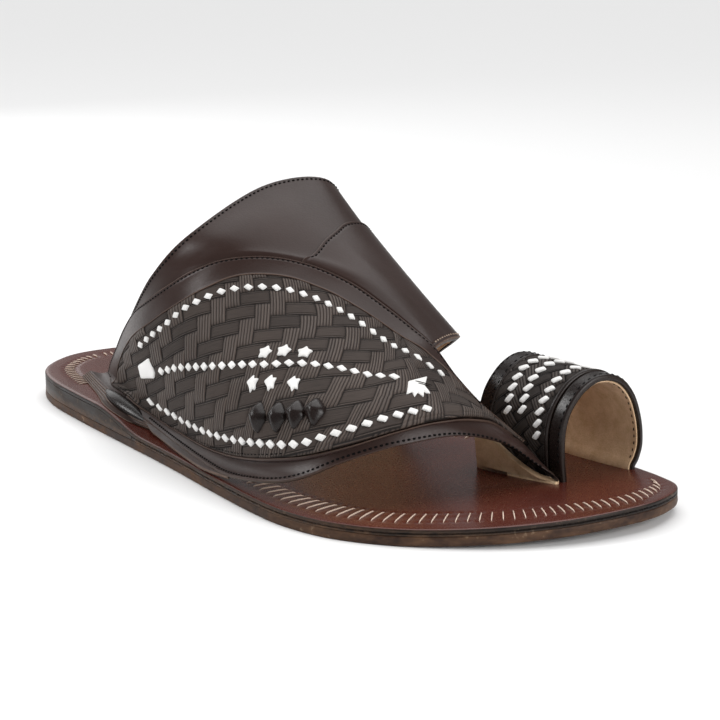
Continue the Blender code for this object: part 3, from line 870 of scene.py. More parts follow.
def upperSkin(name, over, under, radius, finishList, replaces=(), wearAndHighlight=0.0, inset=0.0, end=0.0,
              fine=1.0):
    # one skin over panel and band, its edges rounded by the distance to the nearest free edge; the inset, in grid
    # steps, keeps it back from the free edges
    last, lastRow, topCol = upper["bandSections"] * upper["rowSteps"], panelFace.lastRow, panelFace.lastCol
    first = int(border["rows"] * fine)
    rows = np.r_[packed(0, last, first + 1, 0.85), packed(last, lastRow, int(border["tipRows"] * fine), 0.85)[1:]]
    panelCols = packed(0, topCol, int(border["panelCols"] * fine), 0.8)
    bandCols = np.linspace(0, bandFace.lastCol, int(border["bandCols"] * fine))[1:]
    r, c = np.meshgrid(rows, panelCols, indexing="ij")
    freeTop = smoothStep((r - last) / 4.0)
    c = inset + trimmed(r, c) * (topCol - inset * (1 + freeTop)) / topCol
    tip = last + (r - last) * (lastRow - end - last) / (lastRow - last)
    r = np.where(r < last, inset + r * (last - inset) / last, tip)
    rb, cb = np.meshgrid(np.minimum(rows, last), bandCols, indexing="ij")
    rb = inset + rb * (last - inset * (1 + smoothStep(cb / 6.0))) / last
    points, normals = (np.concatenate(pair, axis=1) for pair in zip(panelFace.read(r, c), bandFace.read(rb, cb)))
    # distance to the heel edge and the border, to the toe edge, and past the band to the upper line as well
    count = len(panelCols)
    near, across = distances(points, 0), distances(points[:, :count], 1)
    toe = (near[-1:] - near)[:, :count]
    front = np.abs(near[first:first + 1] - near)[:, count:]
    onPanel = np.minimum.reduce([near[:, :count], across, toe])
    free = rows > last + 0.01
    onPanel[free] = np.minimum(onPanel, across[:, -1:] - across)[free]
    near = np.concatenate([onPanel, np.minimum(near[:, count:], front)], axis=1)
    keep = np.ones((len(rows) - 1, points.shape[1] - 1), dtype=bool)
    keep[first:, count - 1:] = False
    quads = gridQuads(*near.shape)[keep]
    top = points + normals * edged(over, radius, near)[..., None]
    turned = under + radius * 0.5 * (1 - np.clip(near / (radius * 0.5), 0, 1)) ** 2
    bottom = points + normals * turned[..., None]
    used = np.zeros(near.size, dtype=bool)
    used[quads.ravel()] = True
    renumber = np.cumsum(used) - 1
    skin, faces = closedSkin(top.reshape(-1, 3)[used], bottom.reshape(-1, 3)[used], renumber[quads])
    # pale along every free edge: worn cut edge and a painted highlight on the rounded edge
    wearAndHighlightValues = np.tile(wearAndHighlight * hump(near, 0.0, 0.35).ravel()[used], 2)
    addPiece(name, skin, faces, finishList, {"wearAndHighlight": wearAndHighlightValues}, replaces)


upperSkin("upper_leather", -0.05, -border["leather"], border["round"], ["plain", "edge", "edge"],
          replaces=["upper"], wearAndHighlight=border["wearAndHighlight"])
upperSkin("upper_lining", -border["leather"] - 0.04, -border["lining"], 0.2, ["suede"],
          inset=border["liningInset"], end=border["liningEnd"], fine=0.7)

flange = {
    # how far a ply stands out as a share of the reach, and its height above the border's surface; the last is the
    # single ply at the waist
    "plies": [(0.2, -0.6), (0.4, -1.1), (0.6, -1.6), (0.8, -2.1), (1.0, -2.6), (0.0, -0.9)],
    "reach": 3.3, "swell": 3.6, "waistReach": 2.2, "thickness": 0.45, "waistThickness": 1.0, "innerCol": 4.0,
    "rollFrom": 1.45, "rollTo": 3.25, "rollWide": 2.9, "rollHigh": 1.5,
}


def flangeLines(rows):
    # the border's edge, a line inside it, and the direction its surface faces
    edge, facing = panelFace.read(rows, np.zeros_like(rows))
    return edge, panelFace.points(rows, np.full_like(rows, flange["innerCol"])), facing


def flangePlies():
    # thin layers under the rear of the border, each standing out a little further than the one above
    step = upper["rowSteps"]
    for number, (share, above) in enumerate(flange["plies"]):
        waist = share == 0
        rows = packed(3.0 * step, 7.0 * step, 110, 0.9) if waist else packed(0.0, 3.8 * step, 110, 0.9)
        station = rows / step
        edge, inner, facing = flangeLines(rows)
        if waist:
            reach = flange["waistReach"] * smoothStep((station - 3.0) / 0.8) * (1 - smoothStep(station - 6.0))
        else:
            swollen = flange["reach"] + flange["swell"] * hump(station, 2.6, 0.75)
            reach = share * swollen * (1 - smoothStep((station - 2.9) / 0.9))
        rim = edge + unit(unit(edge - inner) * [1.0, 1.0, 0.35]) * reach[:, None]
        grid = inner[:, None] + (rim - inner)[:, None] * packed(0.0, 1.0, 14, 0.8)[None, :, None]
        near = nearSide(patchOf(grid, None), "high", "start", "end")
        top = grid + facing[:, None] * (above + edged(0.0, 0.25, near))[..., None]
        bottom = grid + facing[:, None] * (above - flange["waistThickness" if waist else "thickness"])
        for face, lift in ((top, 0.5), (bottom, 0.05)):
            face[..., 2] = np.maximum(face[..., 2], insoleTop(face[..., 0]) + lift)
        skin, faces = closedSkin(bottom.reshape(-1, 3), top.reshape(-1, 3), gridQuads(*near.shape).reshape(-1, 4))
        # pale along each ply's free edges: worn cut edge and painted highlight
        addPiece("flange_ply_" + str(number + 1), skin, faces, ["plain"],
                 {"wearAndHighlight": np.tile(0.8 * hump(near, 0.0, 0.2).ravel(), 2)})


def flangeRoll():
    # the rear end of the border, turned back on itself in a smooth roll that swells in its middle; it takes the
    # near-black ring leather, painted shade on the border's own leather
    edge, inner, facing = flangeLines(np.linspace(flange["rollFrom"], flange["rollTo"], 60) * upper["rowSteps"])
    outward = unit(edge - inner)
    swell = np.sin(np.linspace(0.02, np.pi - 0.02, 60)) ** 0.8
    turn = np.linspace(0.0, 2 * np.pi, 24, endpoint=False)[None, :, None]
    wide, high = outward[:, None] * flange["rollWide"], facing[:, None] * flange["rollHigh"]
    oval = wide * np.cos(turn) + high * np.sin(turn)
    points = (edge + outward * 0.3 - facing * 0.5)[:, None] + oval * swell[:, None, None]
    one = np.arange(60 * 24).reshape(60, 24)
    quads = tubeQuads(one).reshape(-1, 4)[:, ::-1]
    addPiece("flange_roll", points.reshape(-1, 3), [(quads, 0), (one[:1], 0), (one[-1:, ::-1], 0)], ["ring"])


flangePlies()
flangeRoll()


# Side panel: woven insert, plain binding, lacing and ornaments

def places(points):
    # (station along the panel, share of the way from seam to upper line; below the seam, share of the border)
    station, share = np.array(points, dtype=float).T
    above, below = upper["borderSteps"] + share * upper["panelSteps"], upper["borderSteps"] * (1 + share)
    return np.column_stack([station * upper["rowSteps"], np.where(share >= 0, above, below)])


def surfaceLine(surface, marks, count):
    # a smooth line through places on a surface, read at equal distances in space
    fine = through(marks, 20)
    far = travelled(surface.points(*fine.T))
    return readAt(np.linspace(0.0, far[-1], count), far, fine)


def between(surface, lower, higher, rows, cols, tight):
    # the patch between two lines on a surface
    at = np.linspace(0.0, 399.0, rows)
    a, b = (readAt(at, np.arange(400), surfaceLine(surface, line, 400))[:, None] for line in (lower, higher))
    t = packed(0.0, 1.0, cols, tight)[None, :, None]
    where = a * (1 - t) + b * t
    return patchOf(*surface.read(where[..., 0], where[..., 1]), where)


insert = {
    "top": [(1.35, -0.72), (1.25, -0.4), (1.21, -0.14), (1.22, 0.083), (1.32, 0.2), (1.71, 0.333), (2.75, 0.521),
            (3.71, 0.633), (4.79, 0.696), (5.35, 0.738), (5.75, 0.779), (6.21, 0.808), (7.15, 0.842), (7.77, 0.854),
            (8.35, 0.867), (9.31, 0.885), (10.0, 0.885), (10.7, 0.875), (11.2, 0.885), (11.7, 0.92), (12.3, 0.955),
            (13.0, 0.975), (14.1, 0.985)],
    "low": [(1.36, -0.76), (1.75, -0.72), (2.2, -0.68), (2.67, -0.62), (3.46, -0.38), (4.4, -0.34), (5.6, -0.34),
            (6.8, -0.2), (8.04, -0.06), (9.02, -0.06), (9.85, -0.05), (10.6, -0.04), (11.3, -0.02), (12.1, 0.0),
            (12.8, 0.09), (13.3, 0.36), (13.75, 0.73), (14.12, 0.965)],
    "rows": 721, "cols": 129, "backStep": 8, "height": 0.65, "relief": 0.55, "toeLift": 1.3, "stitchInset": 1.3,
    "stitchEnd": 8.6,
    # strand number and row number: constant, along, up, along times up, along squared, up squared
    "warp": (-9.498, 0.0583, -0.0160, -0.00030, 0.00063, 0.00136),
    "weft": (-0.696, -0.1215, 0.2495, -0.00077, 0.00044, -0.00017),
    "evenTo": 150.0,
}


def twillRelief(u, v):
    # the same over and under as the finish: bars arch over two groups, groups over two rows, and both dive at
    # their ends
    warp, weft = np.floor(u), np.floor(v)

    def arch(offset):
        return 1 - 0.8 * np.minimum(np.abs(np.mod(offset, 4) - 1), 1.0) ** 5

    bar = arch(u - weft) * (0.6 + 0.15 * smoothStep(np.minimum(v - weft, 1 - (v - weft)) / 0.2))
    group = arch(v - warp + 3) * (0.7 + 0.3 * smoothStep(np.minimum(u - warp, 1 - (u - warp)) / 0.2))
    return np.where(np.mod(warp - weft, 4) < 1.5, bar, group)


def strandNumbers():
    # along: distance in plan along the panel's middle line to the nearest point; up: distance up the surface from
    # the seam. Strand and row numbers are quadratics of the two, so the weave leans and fans out
    middle = panelFace.grid[:, upper["borderSteps"] + upper["panelSteps"] // 2, :2]
    line = spaced(np.vstack([middle[0] + (middle[0] - middle[6]) * 3, middle]), 500)
    far = travelled(line)
    flat = panelFace.grid[..., :2].reshape(-1, 2)
    nearest = np.clip(np.argmin(((flat[:, None] - line[None]) ** 2).sum(-1), axis=1), 1, len(line) - 2)
    tangent = unit(line[nearest + 1] - line[nearest - 1])
    along = (far[nearest] + ((flat - line[nearest]) * tangent).sum(-1)).reshape(panelFace.grid.shape[:2])
    up = distances(panelFace.grid, 1)
    up = up - up[:, upper["borderSteps"]][:, None]
    # past the last whole group the strands keep their width
    a = np.minimum(along, insert["evenTo"])
    terms = np.stack([np.ones_like(a), a, up, a * up, a * a, up * up], axis=-1)
    slopes = np.stack([np.ones_like(a), up, 2 * a], axis=-1)
    weights = [np.array(insert[key]) for key in ("warp", "weft")]
    return np.stack([terms @ w + (along - a) * (slopes @ w[[1, 3, 4]]) for w in weights], axis=-1)


def wovenSkin(name, p, over, under, warp, weft, step, finishList):
    # a fine woven top over a coarse back, with the numbers that the finish reads
    points, faces = coarseBacked(raised(p, over), raised(p, under), step)
    values = {key: np.r_[value.ravel(), value[::step, ::step].ravel()]
              for key, value in (("warp", warp), ("weft", weft))}
    addPiece(name, points, faces, finishList, values)


def wovenInsert():
    # twill relief that flattens at the hem, lifts off over the toes, and has a groove for its stitches
    p = between(panelFace, places(insert["low"]), places(insert["top"]), insert["rows"], insert["cols"], 0.25)
    warp, weft = np.moveaxis(readGrid(strandNumbers(), p["where"][..., 0], p["where"][..., 1]), -1, 0)
    station = p["where"][..., 0] / upper["rowSteps"]
    toes = smoothStep((station - 7.0) / 3.0) * smoothStep((13.9 - station) / 1.6)
    lift = insert["toeLift"] * toes * hump(p["low"], 0.0, 4.5)
    hem = 1 - 0.55 * hump(p["low"], 0.0, 1.6)
    over = insert["height"] + insert["relief"] * twillRelief(warp, weft) * hem + lift
    over = over + 0.9 * edged(0.0, 0.5, nearSide(p, "low", "start", "end"))
    over = over - 0.35 * smoothStep(1 - p["high"] / 1.5) - 0.15 * hump(p["low"], insert["stitchInset"], 0.3)
    wovenSkin("woven_panel", p, over, lift * 0.95 - 0.3, warp, weft, insert["backStep"],
              ["woven", "edge", "edge"])
    line, facing = (table[16::4] for table in seamLine(p, "low", insert["stitchInset"], over))
    shown = station[16::4, 0] <= insert["stitchEnd"]
    threadRows("insert_edge_stitches", [(line[shown], facing[shown])], pitch=2.3, length=1.5, width=0.5,
               height=0.22)


def borderBead():
    # the turned edge of the border that the weave tucks behind
    marks = places([mark for mark in insert["low"] if 2.0 < mark[0] < 13.9])
    p = between(panelFace, marks - [0.0, 1.3], marks + [0.0, 0.1], 300, 14, 0.6)
    near = np.minimum(nearSide(p, "low", "high"), nearSide(p, "start", "end") / 4)
    # a painted highlight along the bead's crest, half a millimetre in from its upper edge
    wearAndHighlight = 0.5 * hump(p["high"], 0.5, 0.22)
    padded("border_bead", p, edged(0.85, 0.75, near), -0.3, ["plain"], "upper_leather", wearAndHighlight)


wovenInsert()
borderBead()

binding = {
    "outer": [(1.2, -0.72), (0.75, -0.45), (0.25, -0.17), (0.02, 0.1), (0.0, 0.3), (0.0, 0.46), (0.3, 0.565),
              (0.9, 0.635), (1.67, 0.71), (2.67, 0.84), (3.54, 0.912), (4.29, 0.954), (4.94, 0.975), (5.5, 0.99),
              (6.2, 1.0), (7.0, 1.0), (8.0, 1.0), (9.0, 1.0), (10.0, 1.0), (11.1, 1.0), (12.0, 1.0), (13.0, 1.0),
              (14.15, 1.0)],
    "height": 0.85, "corner": 0.35, "groove": 0.2, "stitchInset": 1.25, "borderInset": 1.5,
}


def bindingStrip():
    # a flat strip, grooved under its stitches and swelling a little beside the weave
    p = between(panelFace, places(insert["top"]), places(binding["outer"]), 340, 32, 0.85)
    over = edged(binding["height"], binding["corner"], nearSide(p, "low", "high"))
    over = over - binding["groove"] * hump(p["high"], binding["stitchInset"], 0.4)
    over = over + 0.14 * hump(p["low"], 0.45, 0.35)
    # painted highlight with some edge wear: a pale line along the outer edge and one on the swelling beside the weave
    wearAndHighlight = hump(p["high"], 0.0, 0.26) + 0.6 * hump(p["low"], 0.4, 0.25)
    padded("panel_binding", p, over, -0.3, ["plain"], "upper_leather", wearAndHighlight)
    line, facing = seamLine(p, "high", binding["stitchInset"], over)
    threadRows("panel_stitches", [(line[8:-20], facing[8:-20])])


def borderStitches():
    # the seam that holds the panel's flared border down
    rows = np.linspace(3.3, 14.2, 240) * upper["rowSteps"]
    r, c = np.meshgrid(rows, np.linspace(0.0, upper["borderSteps"] + 6.0, 60), indexing="ij")
    p = patchOf(*panelFace.read(r, trimmed(r, c)))
    line, facing = seamLine(p, "low", binding["borderInset"])
    facing = readAt(np.linspace(0, len(rows) - 1, 400), np.arange(len(rows)), facing)
    threadRows("border_stitches", [(spaced(line, 400), facing)])


bindingStrip()
borderStitches()

# shares of the outline's size, and heights there as shares of the pad's
flatPad = (0.0, 0.45, 0.8, 0.94, 1.0, 1.0), (1.0, 0.97, 0.85, 0.6, 0.25, -0.5)
domedPad = (0.0, 0.15, 0.35, 0.6, 0.8, 0.93, 1.0, 1.0), (1.0, 0.97, 0.86, 0.66, 0.43, 0.18, -0.1, -0.35)


def placePads(name, surface, where, outline, size, height, lift, finish="white", slotName="upper_leather",
              profile=flatPad, along=None, upward=(0.0, 0.0, 1.0)):
    # copies of one pad, a centre and rings of its outline, laid on the surface; every point is moved to the
    # surface's own nearest point, then lifted
    shares, heights = profile
    flat = np.vstack([[[0.0, 0.0]]] + [outline * share for share in shares[1:]])
    number = 1 + np.arange(len(flat) - 1).reshape(-1, len(outline))
    fan = np.column_stack([np.zeros(len(outline), dtype=int), number[0], np.roll(number[0], -1)])
    centre, facing = surface.read(*where.T)
    if along is None:
        level = unit(np.cross([0.0, 0.0, 1.0], facing))
        level = level * np.sign(level[:, :1])
    else:
        level = unit(along - (along * facing).sum(-1, keepdims=True) * facing)
    rise = np.cross(facing, level)
    rise = rise * np.sign((rise * np.array(upward)).sum(-1, keepdims=True) + 1e-9)
    sizes = np.broadcast_to(np.array(size, dtype=float), (len(where), 2))[:, None] * flat[None]
    spread = centre[:, None] + level[:, None] * sizes[..., :1] + rise[:, None] * sizes[..., 1:]
    points, out = surface.read(*surface.nearest(spread.reshape(-1, 3)).T)
    rings = np.r_[heights[0], np.repeat(heights[1:], len(outline))]
    points = points + out * (np.broadcast_to(lift, len(where))[:, None] + height * rings[None]).reshape(-1, 1)
    offset = (np.arange(len(where)) * len(flat))[:, None, None]
    handed = 1 if (np.cross(level, rise) * facing).sum(-1)[0] > 0 else -1
    faces = [((corners[:, ::handed] + offset).reshape(-1, corners.shape[1]), 0)
             for corners in (tubeQuads(number).reshape(-1, 4)[:, ::-1], fan, number[-1:, ::-1])]
    addPiece(name, points, faces, [finish])


def softShape(corners, perSide, softness):
    # a polygon with softened corners, as points round its centre
    corners = np.array(corners, dtype=float)
    start, end = (corners + (np.roll(corners, shift, axis=0) - corners) * softness for shift in (1, -1))
    t = np.linspace(0.0, 1.0, perSide)[None, :, None]
    curve = (1 - t) ** 2 * start[:, None] + 2 * t * (1 - t) * corners[:, None] + t ** 2 * end[:, None]
    return curve.reshape(-1, 2)


def padRow(surface, marks, count, gather=1.0, sink=0.0, reach=2.0):
    # places along a line on a surface, closer together towards its end, with the direction and distance to the
    # next; the direction is taken over a reach of so many 400ths of the line
    fine = surfaceLine(surface, marks, 401) - [0.0, sink]
    at = (np.arange(count + 1) / count) ** (1 / gather) * 400
    spots = (at[:-1], at[:-1] + reach, at[1:])
    where, ahead, after = (readAt(spot, np.arange(401), fine) for spot in spots)
    here = surface.points(*where.T)
    return where, surface.points(*ahead.T) - here, np.linalg.norm(surface.points(*after.T) - here, axis=1)


lacing = {
    "height": 0.75, "lift": 0.9, "lowLift": 1.1,
    "sink": 1.0,  # how far the rows are set down, in grid steps, for the height they stand off the surface
    # count, length as a share of the step, width, gathering, and the row's line
    "top": (28, 0.74, 2.9, 1.06,
            [(3.0, 0.433), (3.42, 0.504), (4.02, 0.567), (4.83, 0.646), (5.33, 0.679), (5.77, 0.712), (6.58, 0.75),
             (7.5, 0.785), (8.67, 0.812), (9.46, 0.813), (10.27, 0.785), (11.0, 0.765), (11.6, 0.795), (11.95, 0.815)]),
    "middle": (23, 0.86, 3.1, 1.06,
               [(4.21, 0.317), (5.0, 0.346), (6.17, 0.371), (7.23, 0.392), (7.96, 0.408), (8.62, 0.438),
                (9.23, 0.462), (9.75, 0.483), (10.54, 0.483), (10.95, 0.475)]),
    "low": (27, 0.86, 2.9, 1.15,
            [(3.5, 0.088), (4.17, 0.092), (5.21, 0.08), (6.38, 0.08), (7.75, 0.075), (8.92, 0.06), (9.54, 0.074),
             (10.1, 0.09), (10.79, 0.11), (11.5, 0.122), (11.8, 0.125)]),
}


def addLacing():
    diamond = softShape([(-0.5, 0.04), (-0.1, 0.5), (0.5, -0.04), (0.1, -0.5)], 3, 0.14)
    for key in ("top", "middle", "low"):
        count, length, width, gather, line = lacing[key]
        where, along, step = padRow(panelFace, places(line), count, gather, lacing["sink"])
        # the low row rises with the weave over the toes, and its diamonds get shorter
        station = where[:, 0] / upper["rowSteps"]
        shorter = 1 - 0.12 * smoothStep((station - 7.0) / 4.0) * (key == "low")
        lift = lacing["lift"] + lacing["lowLift"] * smoothStep((station - 7.0) / 3.0) * (key == "low")
        size = np.column_stack([step * length * shorter, np.full(count, width)])
        placePads("white_lacing_" + key, panelFace, where, diamond, size, lacing["height"], lift, along=along)


addLacing()


def starOutline():
    turn = np.linspace(0.0, 2 * np.pi, 10, endpoint=False) + np.pi / 2
    radius = np.where(np.arange(10) % 2 == 0, 0.56, 0.36)
    return softShape(np.column_stack([np.cos(turn), np.sin(turn)]) * radius[:, None], 3, 0.25)


white = {"height": 0.8, "lift": 0.9}
ornaments = {
    "white_stars_upper": {"at": [(7.75, 0.44), (8.19, 0.463), (8.67, 0.483)], "size": (4.9, 5.1), **white,
                          "outline": starOutline()},
    "white_stars_lower": {
        "at": [(7.6, 0.303), (8.06, 0.312), (8.62, 0.32)], "size": (4.9, 5.4), **white,
        "outline": softShape([(-0.5, 0), (-0.12, 0.55), (0.05, 0.32), (0.36, 0.4), (0.38, 0), (0.56, -0.35),
                              (0.3, -0.34), (0.24, -0.6), (0, -0.32)], 3, 0.2)},
    "raised_drops": {"at": [(7.86, 0.165), (8.35, 0.168), (8.78, 0.18), (9.2, 0.192)], "size": (9.4, 12.0),
                     "height": 3.3, "lift": 0.8, "finish": "ring", "profile": domedPad,
                     "outline": softShape([(-0.5, 0.0), (-0.1, 0.5), (0.5, 0.06), (0.22, -0.5)], 6, 0.3)},
    "white_pentagon": {
        "at": [(3.42, 0.275)], "size": (15.0, 9.6), **white,
        "outline": softShape([(0.2, 0.5), (0.5, 0.04), (0.42, -0.2), (-0.42, -0.5), (-0.5, -0.02)], 3, 0.08)},
    "white_fan": {
        "at": [(11.35, 0.412)], "size": (14.0, 9.6), **white,
        "outline": softShape([(-0.5, 0.38), (0.2, 0.44), (0.42, 0.18), (0.6, 0), (0.42, -0.04), (0.52, -0.26),
                              (0.32, -0.16), (0.32, -0.42), (0.16, -0.2), (0.06, -0.42), (-0.04, -0.04)], 2, 0.06)},
}
fanSlits = {"ends": [(11.12, 0.448), (11.56, 0.436), (11.2, 0.427), (11.52, 0.412)], "lift": 1.76, "width": 0.5,
            "height": 0.12}


def addOrnaments():
    for name, one in ornaments.items():
        settings = {key: value for key, value in one.items() if key != "at"}
        placePads(name, panelFace, places(one["at"]), **settings)
    # two slits part the fan's feathers
    point, facing = panelFace.read(*places(fanSlits["ends"]).T)
    point = point + facing * fanSlits["lift"]
    addStitches("fan_slits", point[::2], point[1::2], facing[::2], fanSlits["width"], fanSlits["height"],
                "darkThread", sink=0.1)


addOrnaments()


# Instep band: front overlay and stitched collar

overlay = {
    "seam": [(6.75, 0.0), (5.9, 0.12), (5.3, 0.2), (4.7, 0.28), (3.95, 0.36), (3.35, 0.45), (3.0, 0.56), (2.9, 0.7),
             (3.0, 0.86), (3.2, 1.0)],
    "front": [(11.0, 0.0), (11.0, 0.25), (11.0, 0.5), (11.0, 0.75), (11.0, 1.0)],
    "height": 0.85, "corner": 0.35, "stitchInset": 1.3, "frontInset": 1.6, "collarInset": 1.7, "collarFrom": 45,
}


def frontOverlay():
    # a smooth layer over the front of the band, with a row of stitches along its seam and along the front edge
    steps = [upper["rowSteps"], upper["bandSteps"]]
    back, front = (np.array(overlay[key]) * steps for key in ("seam", "front"))
    p = between(bandFace, back, front, 150, 70, 0.9)
    over = edged(overlay["height"], overlay["corner"], nearSide(p, "low", "high"))
    over = over - 0.2 * hump(p["low"], overlay["stitchInset"], 0.4)
    over = over - 0.12 * hump(p["high"], overlay["frontInset"], 0.32)
    # pale along both edges: worn cut edge and painted highlight
    wearAndHighlight = 0.5 * hump(p["low"], 0.0, 0.25) + 0.9 * hump(p["high"], 0.0, 0.3)
    padded("front_overlay", p, over, -0.3, ["plain"], "upper_leather", wearAndHighlight)
    for name, side, inset, finish in (("overlay_stitches", "low", overlay["stitchInset"], "darkThread"),
                                      ("front_edge_stitches", "high", overlay["frontInset"], "tanThread")):
        line, facing = seamLine(p, side, inset, over)
        threadRows(name, [(line[3:-6], facing[3:-6])], finish=finish)


def collarStitches():
    # along the collar, over the instep from the panel to the inner foot line
    panelCols = np.arange(overlay["collarFrom"], panelFace.lastCol)
    parts = [(panelFace, panelCols), (bandFace, np.arange(bandFace.lastCol - 7))]
    lines = [seamLine(gridPatch(face, np.arange(face.lastRow + 1), cols), "start", overlay["collarInset"])
             for face, cols in parts]
    threadRows("collar_stitches", [tuple(np.vstack(tables) for tables in zip(*lines))])


frontOverlay()
collarStitches()


# Toe ring

def ringPatch(fromShare, toShare, rows, cols, tight=0.85):
    ends = fromShare * ringFace.lastRow, toShare * ringFace.lastRow
    return gridPatch(ringFace, packed(*ends, rows, tight), np.linspace(0, ringFace.lastCol, cols))


def ringStrip(name, p, height, under, radius, finish="ring", slotName="ring_leather", wearAndHighlight=0.1, replaces=()):
    # a band round the ring with rounded edges
    near = nearSide(p, "start", "end")
    over = edged(height, radius, near)
    # pale along the rounded edges: worn cut edge and painted highlight
    padded(name, p, over, under, [finish], slotName, wearAndHighlight * hump(near, 0.0, 0.3), replaces)
    return p, over


def ringBorders():
    inset = ring["liningInset"] / ringFace.lastRow
    whole, lining = ringPatch(0.0, 1.0, 36, 180), ringPatch(inset, 1 - inset, 36, 180)
    ringStrip("toe_ring_leather", whole, -0.05, -1.25, 0.3, wearAndHighlight=0.05, replaces=["toe_ring"])
    ringStrip("toe_ring_lining", lining, -1.29, -ring["wall"], 0.2, "suede", "lining", 0.05)
    rear, front = ringPatch(0.0, ring["weaveFrom"], 30, 200), ringPatch(ring["frontFrom"], 1.0, 30, 200)
    rear, rearOver = ringStrip("ring_rear_border", rear, ring["border"], -0.3, 0.5)
    front, frontOver = ringStrip("ring_front_border", front, ring["border"], -0.3, 1.1)
    ringStrip("ring_bead", ringPatch(ring["weaveTo"], ring["beadTo"], 16, 200), ring["bead"], -0.3, 0.9)
    rows = [seamLine(*row) for row in ((rear, "start", 1.0, rearOver), (rear, "end", 1.0, rearOver),
                                       (front, "end", 1.3, frontOver))]
    threadRows("ring_stitches", [(line[12:-12], facing[12:-12]) for line, facing in rows], pitch=2.4,
               length=1.5, width=0.6, height=0.28, slot="ring_leather")
    # the front row comes through on the lining
    cols = np.linspace(8, ringFace.lastCol - 8, 200)
    line, facing = ringFace.read(np.full(200, ringFace.lastRow - 4.0), cols)
    threadRows("ring_lining_stitches", [(line - facing * ring["wall"], -facing)], pitch=2.4, length=1.3,
               width=0.5, height=0.2, slot="lining")


def ringWoven():
    # the same twill laid at forty-five degrees to the ring, flatter along both edges
    p = ringPatch(ring["weaveFrom"], ring["weaveTo"], 97, 401, tight=0.0)
    warp = (p["start"] + p["low"]) / math.sqrt(2) / ring["groupWidth"]
    weft = (p["low"] - p["start"]) / math.sqrt(2) / ring["rowPitch"]
    hem = 1 - 0.6 * hump(nearSide(p, "start", "end"), 0.0, 0.9)
    over = 0.2 + ring["weaveHeight"] * twillRelief(warp, weft) * hem
    wovenSkin("ring_weave", p, over, -0.3, warp, weft, 8, ["ringWoven", "edge"])


# shares of the ring's width and of its way round
ringRows = [
    ([(0.344, 0.177), (0.31, 0.25), (0.288, 0.302), (0.275, 0.362), (0.281, 0.425), (0.294, 0.508), (0.31, 0.6),
      (0.33, 0.8)], 12),
    ([(0.506, 0.19), (0.481, 0.246), (0.456, 0.31), (0.45, 0.371), (0.45, 0.435), (0.46, 0.5), (0.48, 0.6),
      (0.5, 0.8)], 12),
    ([(0.715, 0.13), (0.705, 0.19), (0.70, 0.25), (0.695, 0.31), (0.69, 0.4), (0.695, 0.5), (0.70, 0.6),
      (0.71, 0.8)], 13),
]
ringStrand = {
    "outline": [(-2.2, -0.6), (-1.3, 1.1), (2.2, 0.6), (1.3, -1.1)], "turn": 0.82, "height": 0.7, "lift": 0.75,
}


def ringLacing():
    # slanting strands in three rows round the ring
    cosine, sine = math.cos(ringStrand["turn"]), math.sin(ringStrand["turn"])
    strand = softShape(ringStrand["outline"], 3, 0.25) @ np.array([[cosine, sine], [-sine, cosine]])
    for k, (line, count) in enumerate(ringRows):
        marks = np.array(line) * [ringFace.lastRow, ringFace.lastCol]
        where, along, _ = padRow(ringFace, marks, count, reach=200 / count)
        placePads("ring_lacing_" + str(k + 1), ringFace, where, strand, (1.0, 1.0), ringStrand["height"],
                  ringStrand["lift"], slotName="ring_leather", along=along, upward=(1.0, 0.0, 0.0))


ringBorders()
ringWoven()
ringLacing()


# Toe post

post = {
    "foot": [(71, 15.5), (85, 16.8), (103.5, 20)],
    "top": [(73, 11.5, 24), (85, 14.9, 14.2), (96, 17.5, 8.2), (103.5, 20, 7)],
    "wall": 1.8, "corner": 0.6, "slitDepth": 1.2, "rows": 90, "cols": 40,
}


def toePost():
    # straight lines from the foot line in the insole to the upper edge, with a rounded rim
    foot = evenly([(x, y, 0.0) for x, y in post["foot"]], post["rows"])
    floor = insoleTop(foot[:, 0])
    low, knee = (np.column_stack([foot[:, :2], floor + lift])[:, None] for lift in (-post["slitDepth"], 1.0))
    share = packed(0.0, 1.0, post["cols"], 0.5)[None, :, None]
    grid = np.concatenate([low, (1 - share) * knee + share * evenly(post["top"], post["rows"])[:, None]], axis=1)
    p = patchOf(grid, Surface(grid).normals)
    half = edged(post["wall"] / 2, post["corner"], nearSide(p, "high", "start", "end"))
    padded("toe_post_suede", p, half, -half, ["suede"], "lining", replaces=["toe_post"])


toePost()


# Room: floor, lights and camera

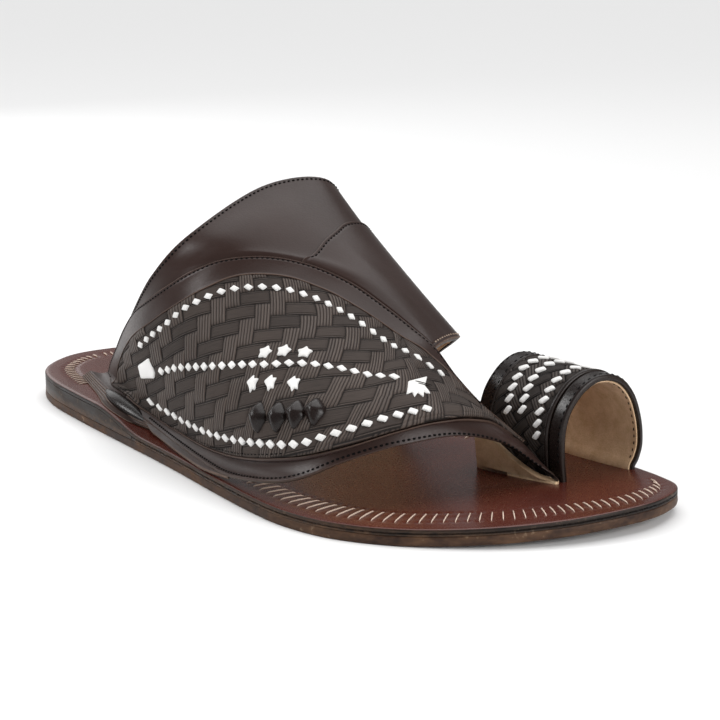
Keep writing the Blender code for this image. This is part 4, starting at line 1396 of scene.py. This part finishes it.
room = {
    "floor": 30.0, "paint": (0.86, 0.86, 0.86), "sky": 0.28,
    "overhead": {"energy": 2.15, "angle": math.radians(62), "aim": (0.16, -0.26, -0.95)},
    # place, aim, size, power
    "lamps": {
        "key": ((-0.6, -0.65, 0.65), (0.0, 0.0, 0.05), 0.4, 5.5),
        "heel": ((-0.9, 0.15, 0.45), (0.0, 0.0, 0.03), 0.6, 1.5),
        "front": ((0.85, 0.05, 0.35), (0.05, 0.02, 0.02), 0.45, 4.5),
    },
    "camera": {"lens": 95.3, "sensor_width": 36.0, "shift_x": -0.0887, "shift_y": -0.0638, "clip_start": 0.05,
               "clip_end": 20.0},
    "eye": (0.50205, -0.42295, 0.19445), "view": (-0.70461, 0.67577, -0.21649),
}


def putUp(name, data, place, aim):
    made = bpy.data.objects.new(name, data)
    made.location = place
    made.rotation_euler = Vector(aim).to_track_quat("-Z", "Y").to_euler()
    bpy.context.scene.collection.objects.link(made)
    return made


def addRoom():
    size = room["floor"]
    mesh = bpy.data.meshes.new("floor")
    mesh.from_pydata([(-size, -size, 0), (size, -size, 0), (size, size, 0), (-size, size, 0)], [], [(0, 1, 2, 3)])
    floor = bpy.data.objects.new("floor", mesh)
    bpy.context.scene.collection.objects.link(floor)
    mesh.materials.append(newFinish("floorPaint", room["paint"], 0.9, shine(0.0))[0])
    world = bpy.data.worlds.new("studio")
    world.use_nodes = True
    world.node_tree.nodes["Background"].inputs["Color"].default_value = (1.0, 1.0, 1.0, 1.0)
    world.node_tree.nodes["Background"].inputs["Strength"].default_value = room["sky"]
    bpy.context.scene.world = world
    sun = bpy.data.lights.new("overhead", "SUN")
    sun.angle, sun.energy = room["overhead"]["angle"], room["overhead"]["energy"]
    putUp("overhead", sun, (0.0, 0.0, 0.0), room["overhead"]["aim"])
    for name, (place, aim, size, power) in room["lamps"].items():
        lamp = bpy.data.lights.new(name, "AREA")
        lamp.size, lamp.energy = size, power
        putUp(name, lamp, place, np.array(aim) - np.array(place))


def addCamera():
    made = bpy.data.cameras.new("camera")
    for key, value in room["camera"].items():
        setattr(made, key, value)
    bpy.context.scene.camera = putUp("camera", made, room["eye"], room["view"])
    bpy.context.scene.view_settings.view_transform = "Standard"


addRoom()
addCamera()
print("room and camera made")
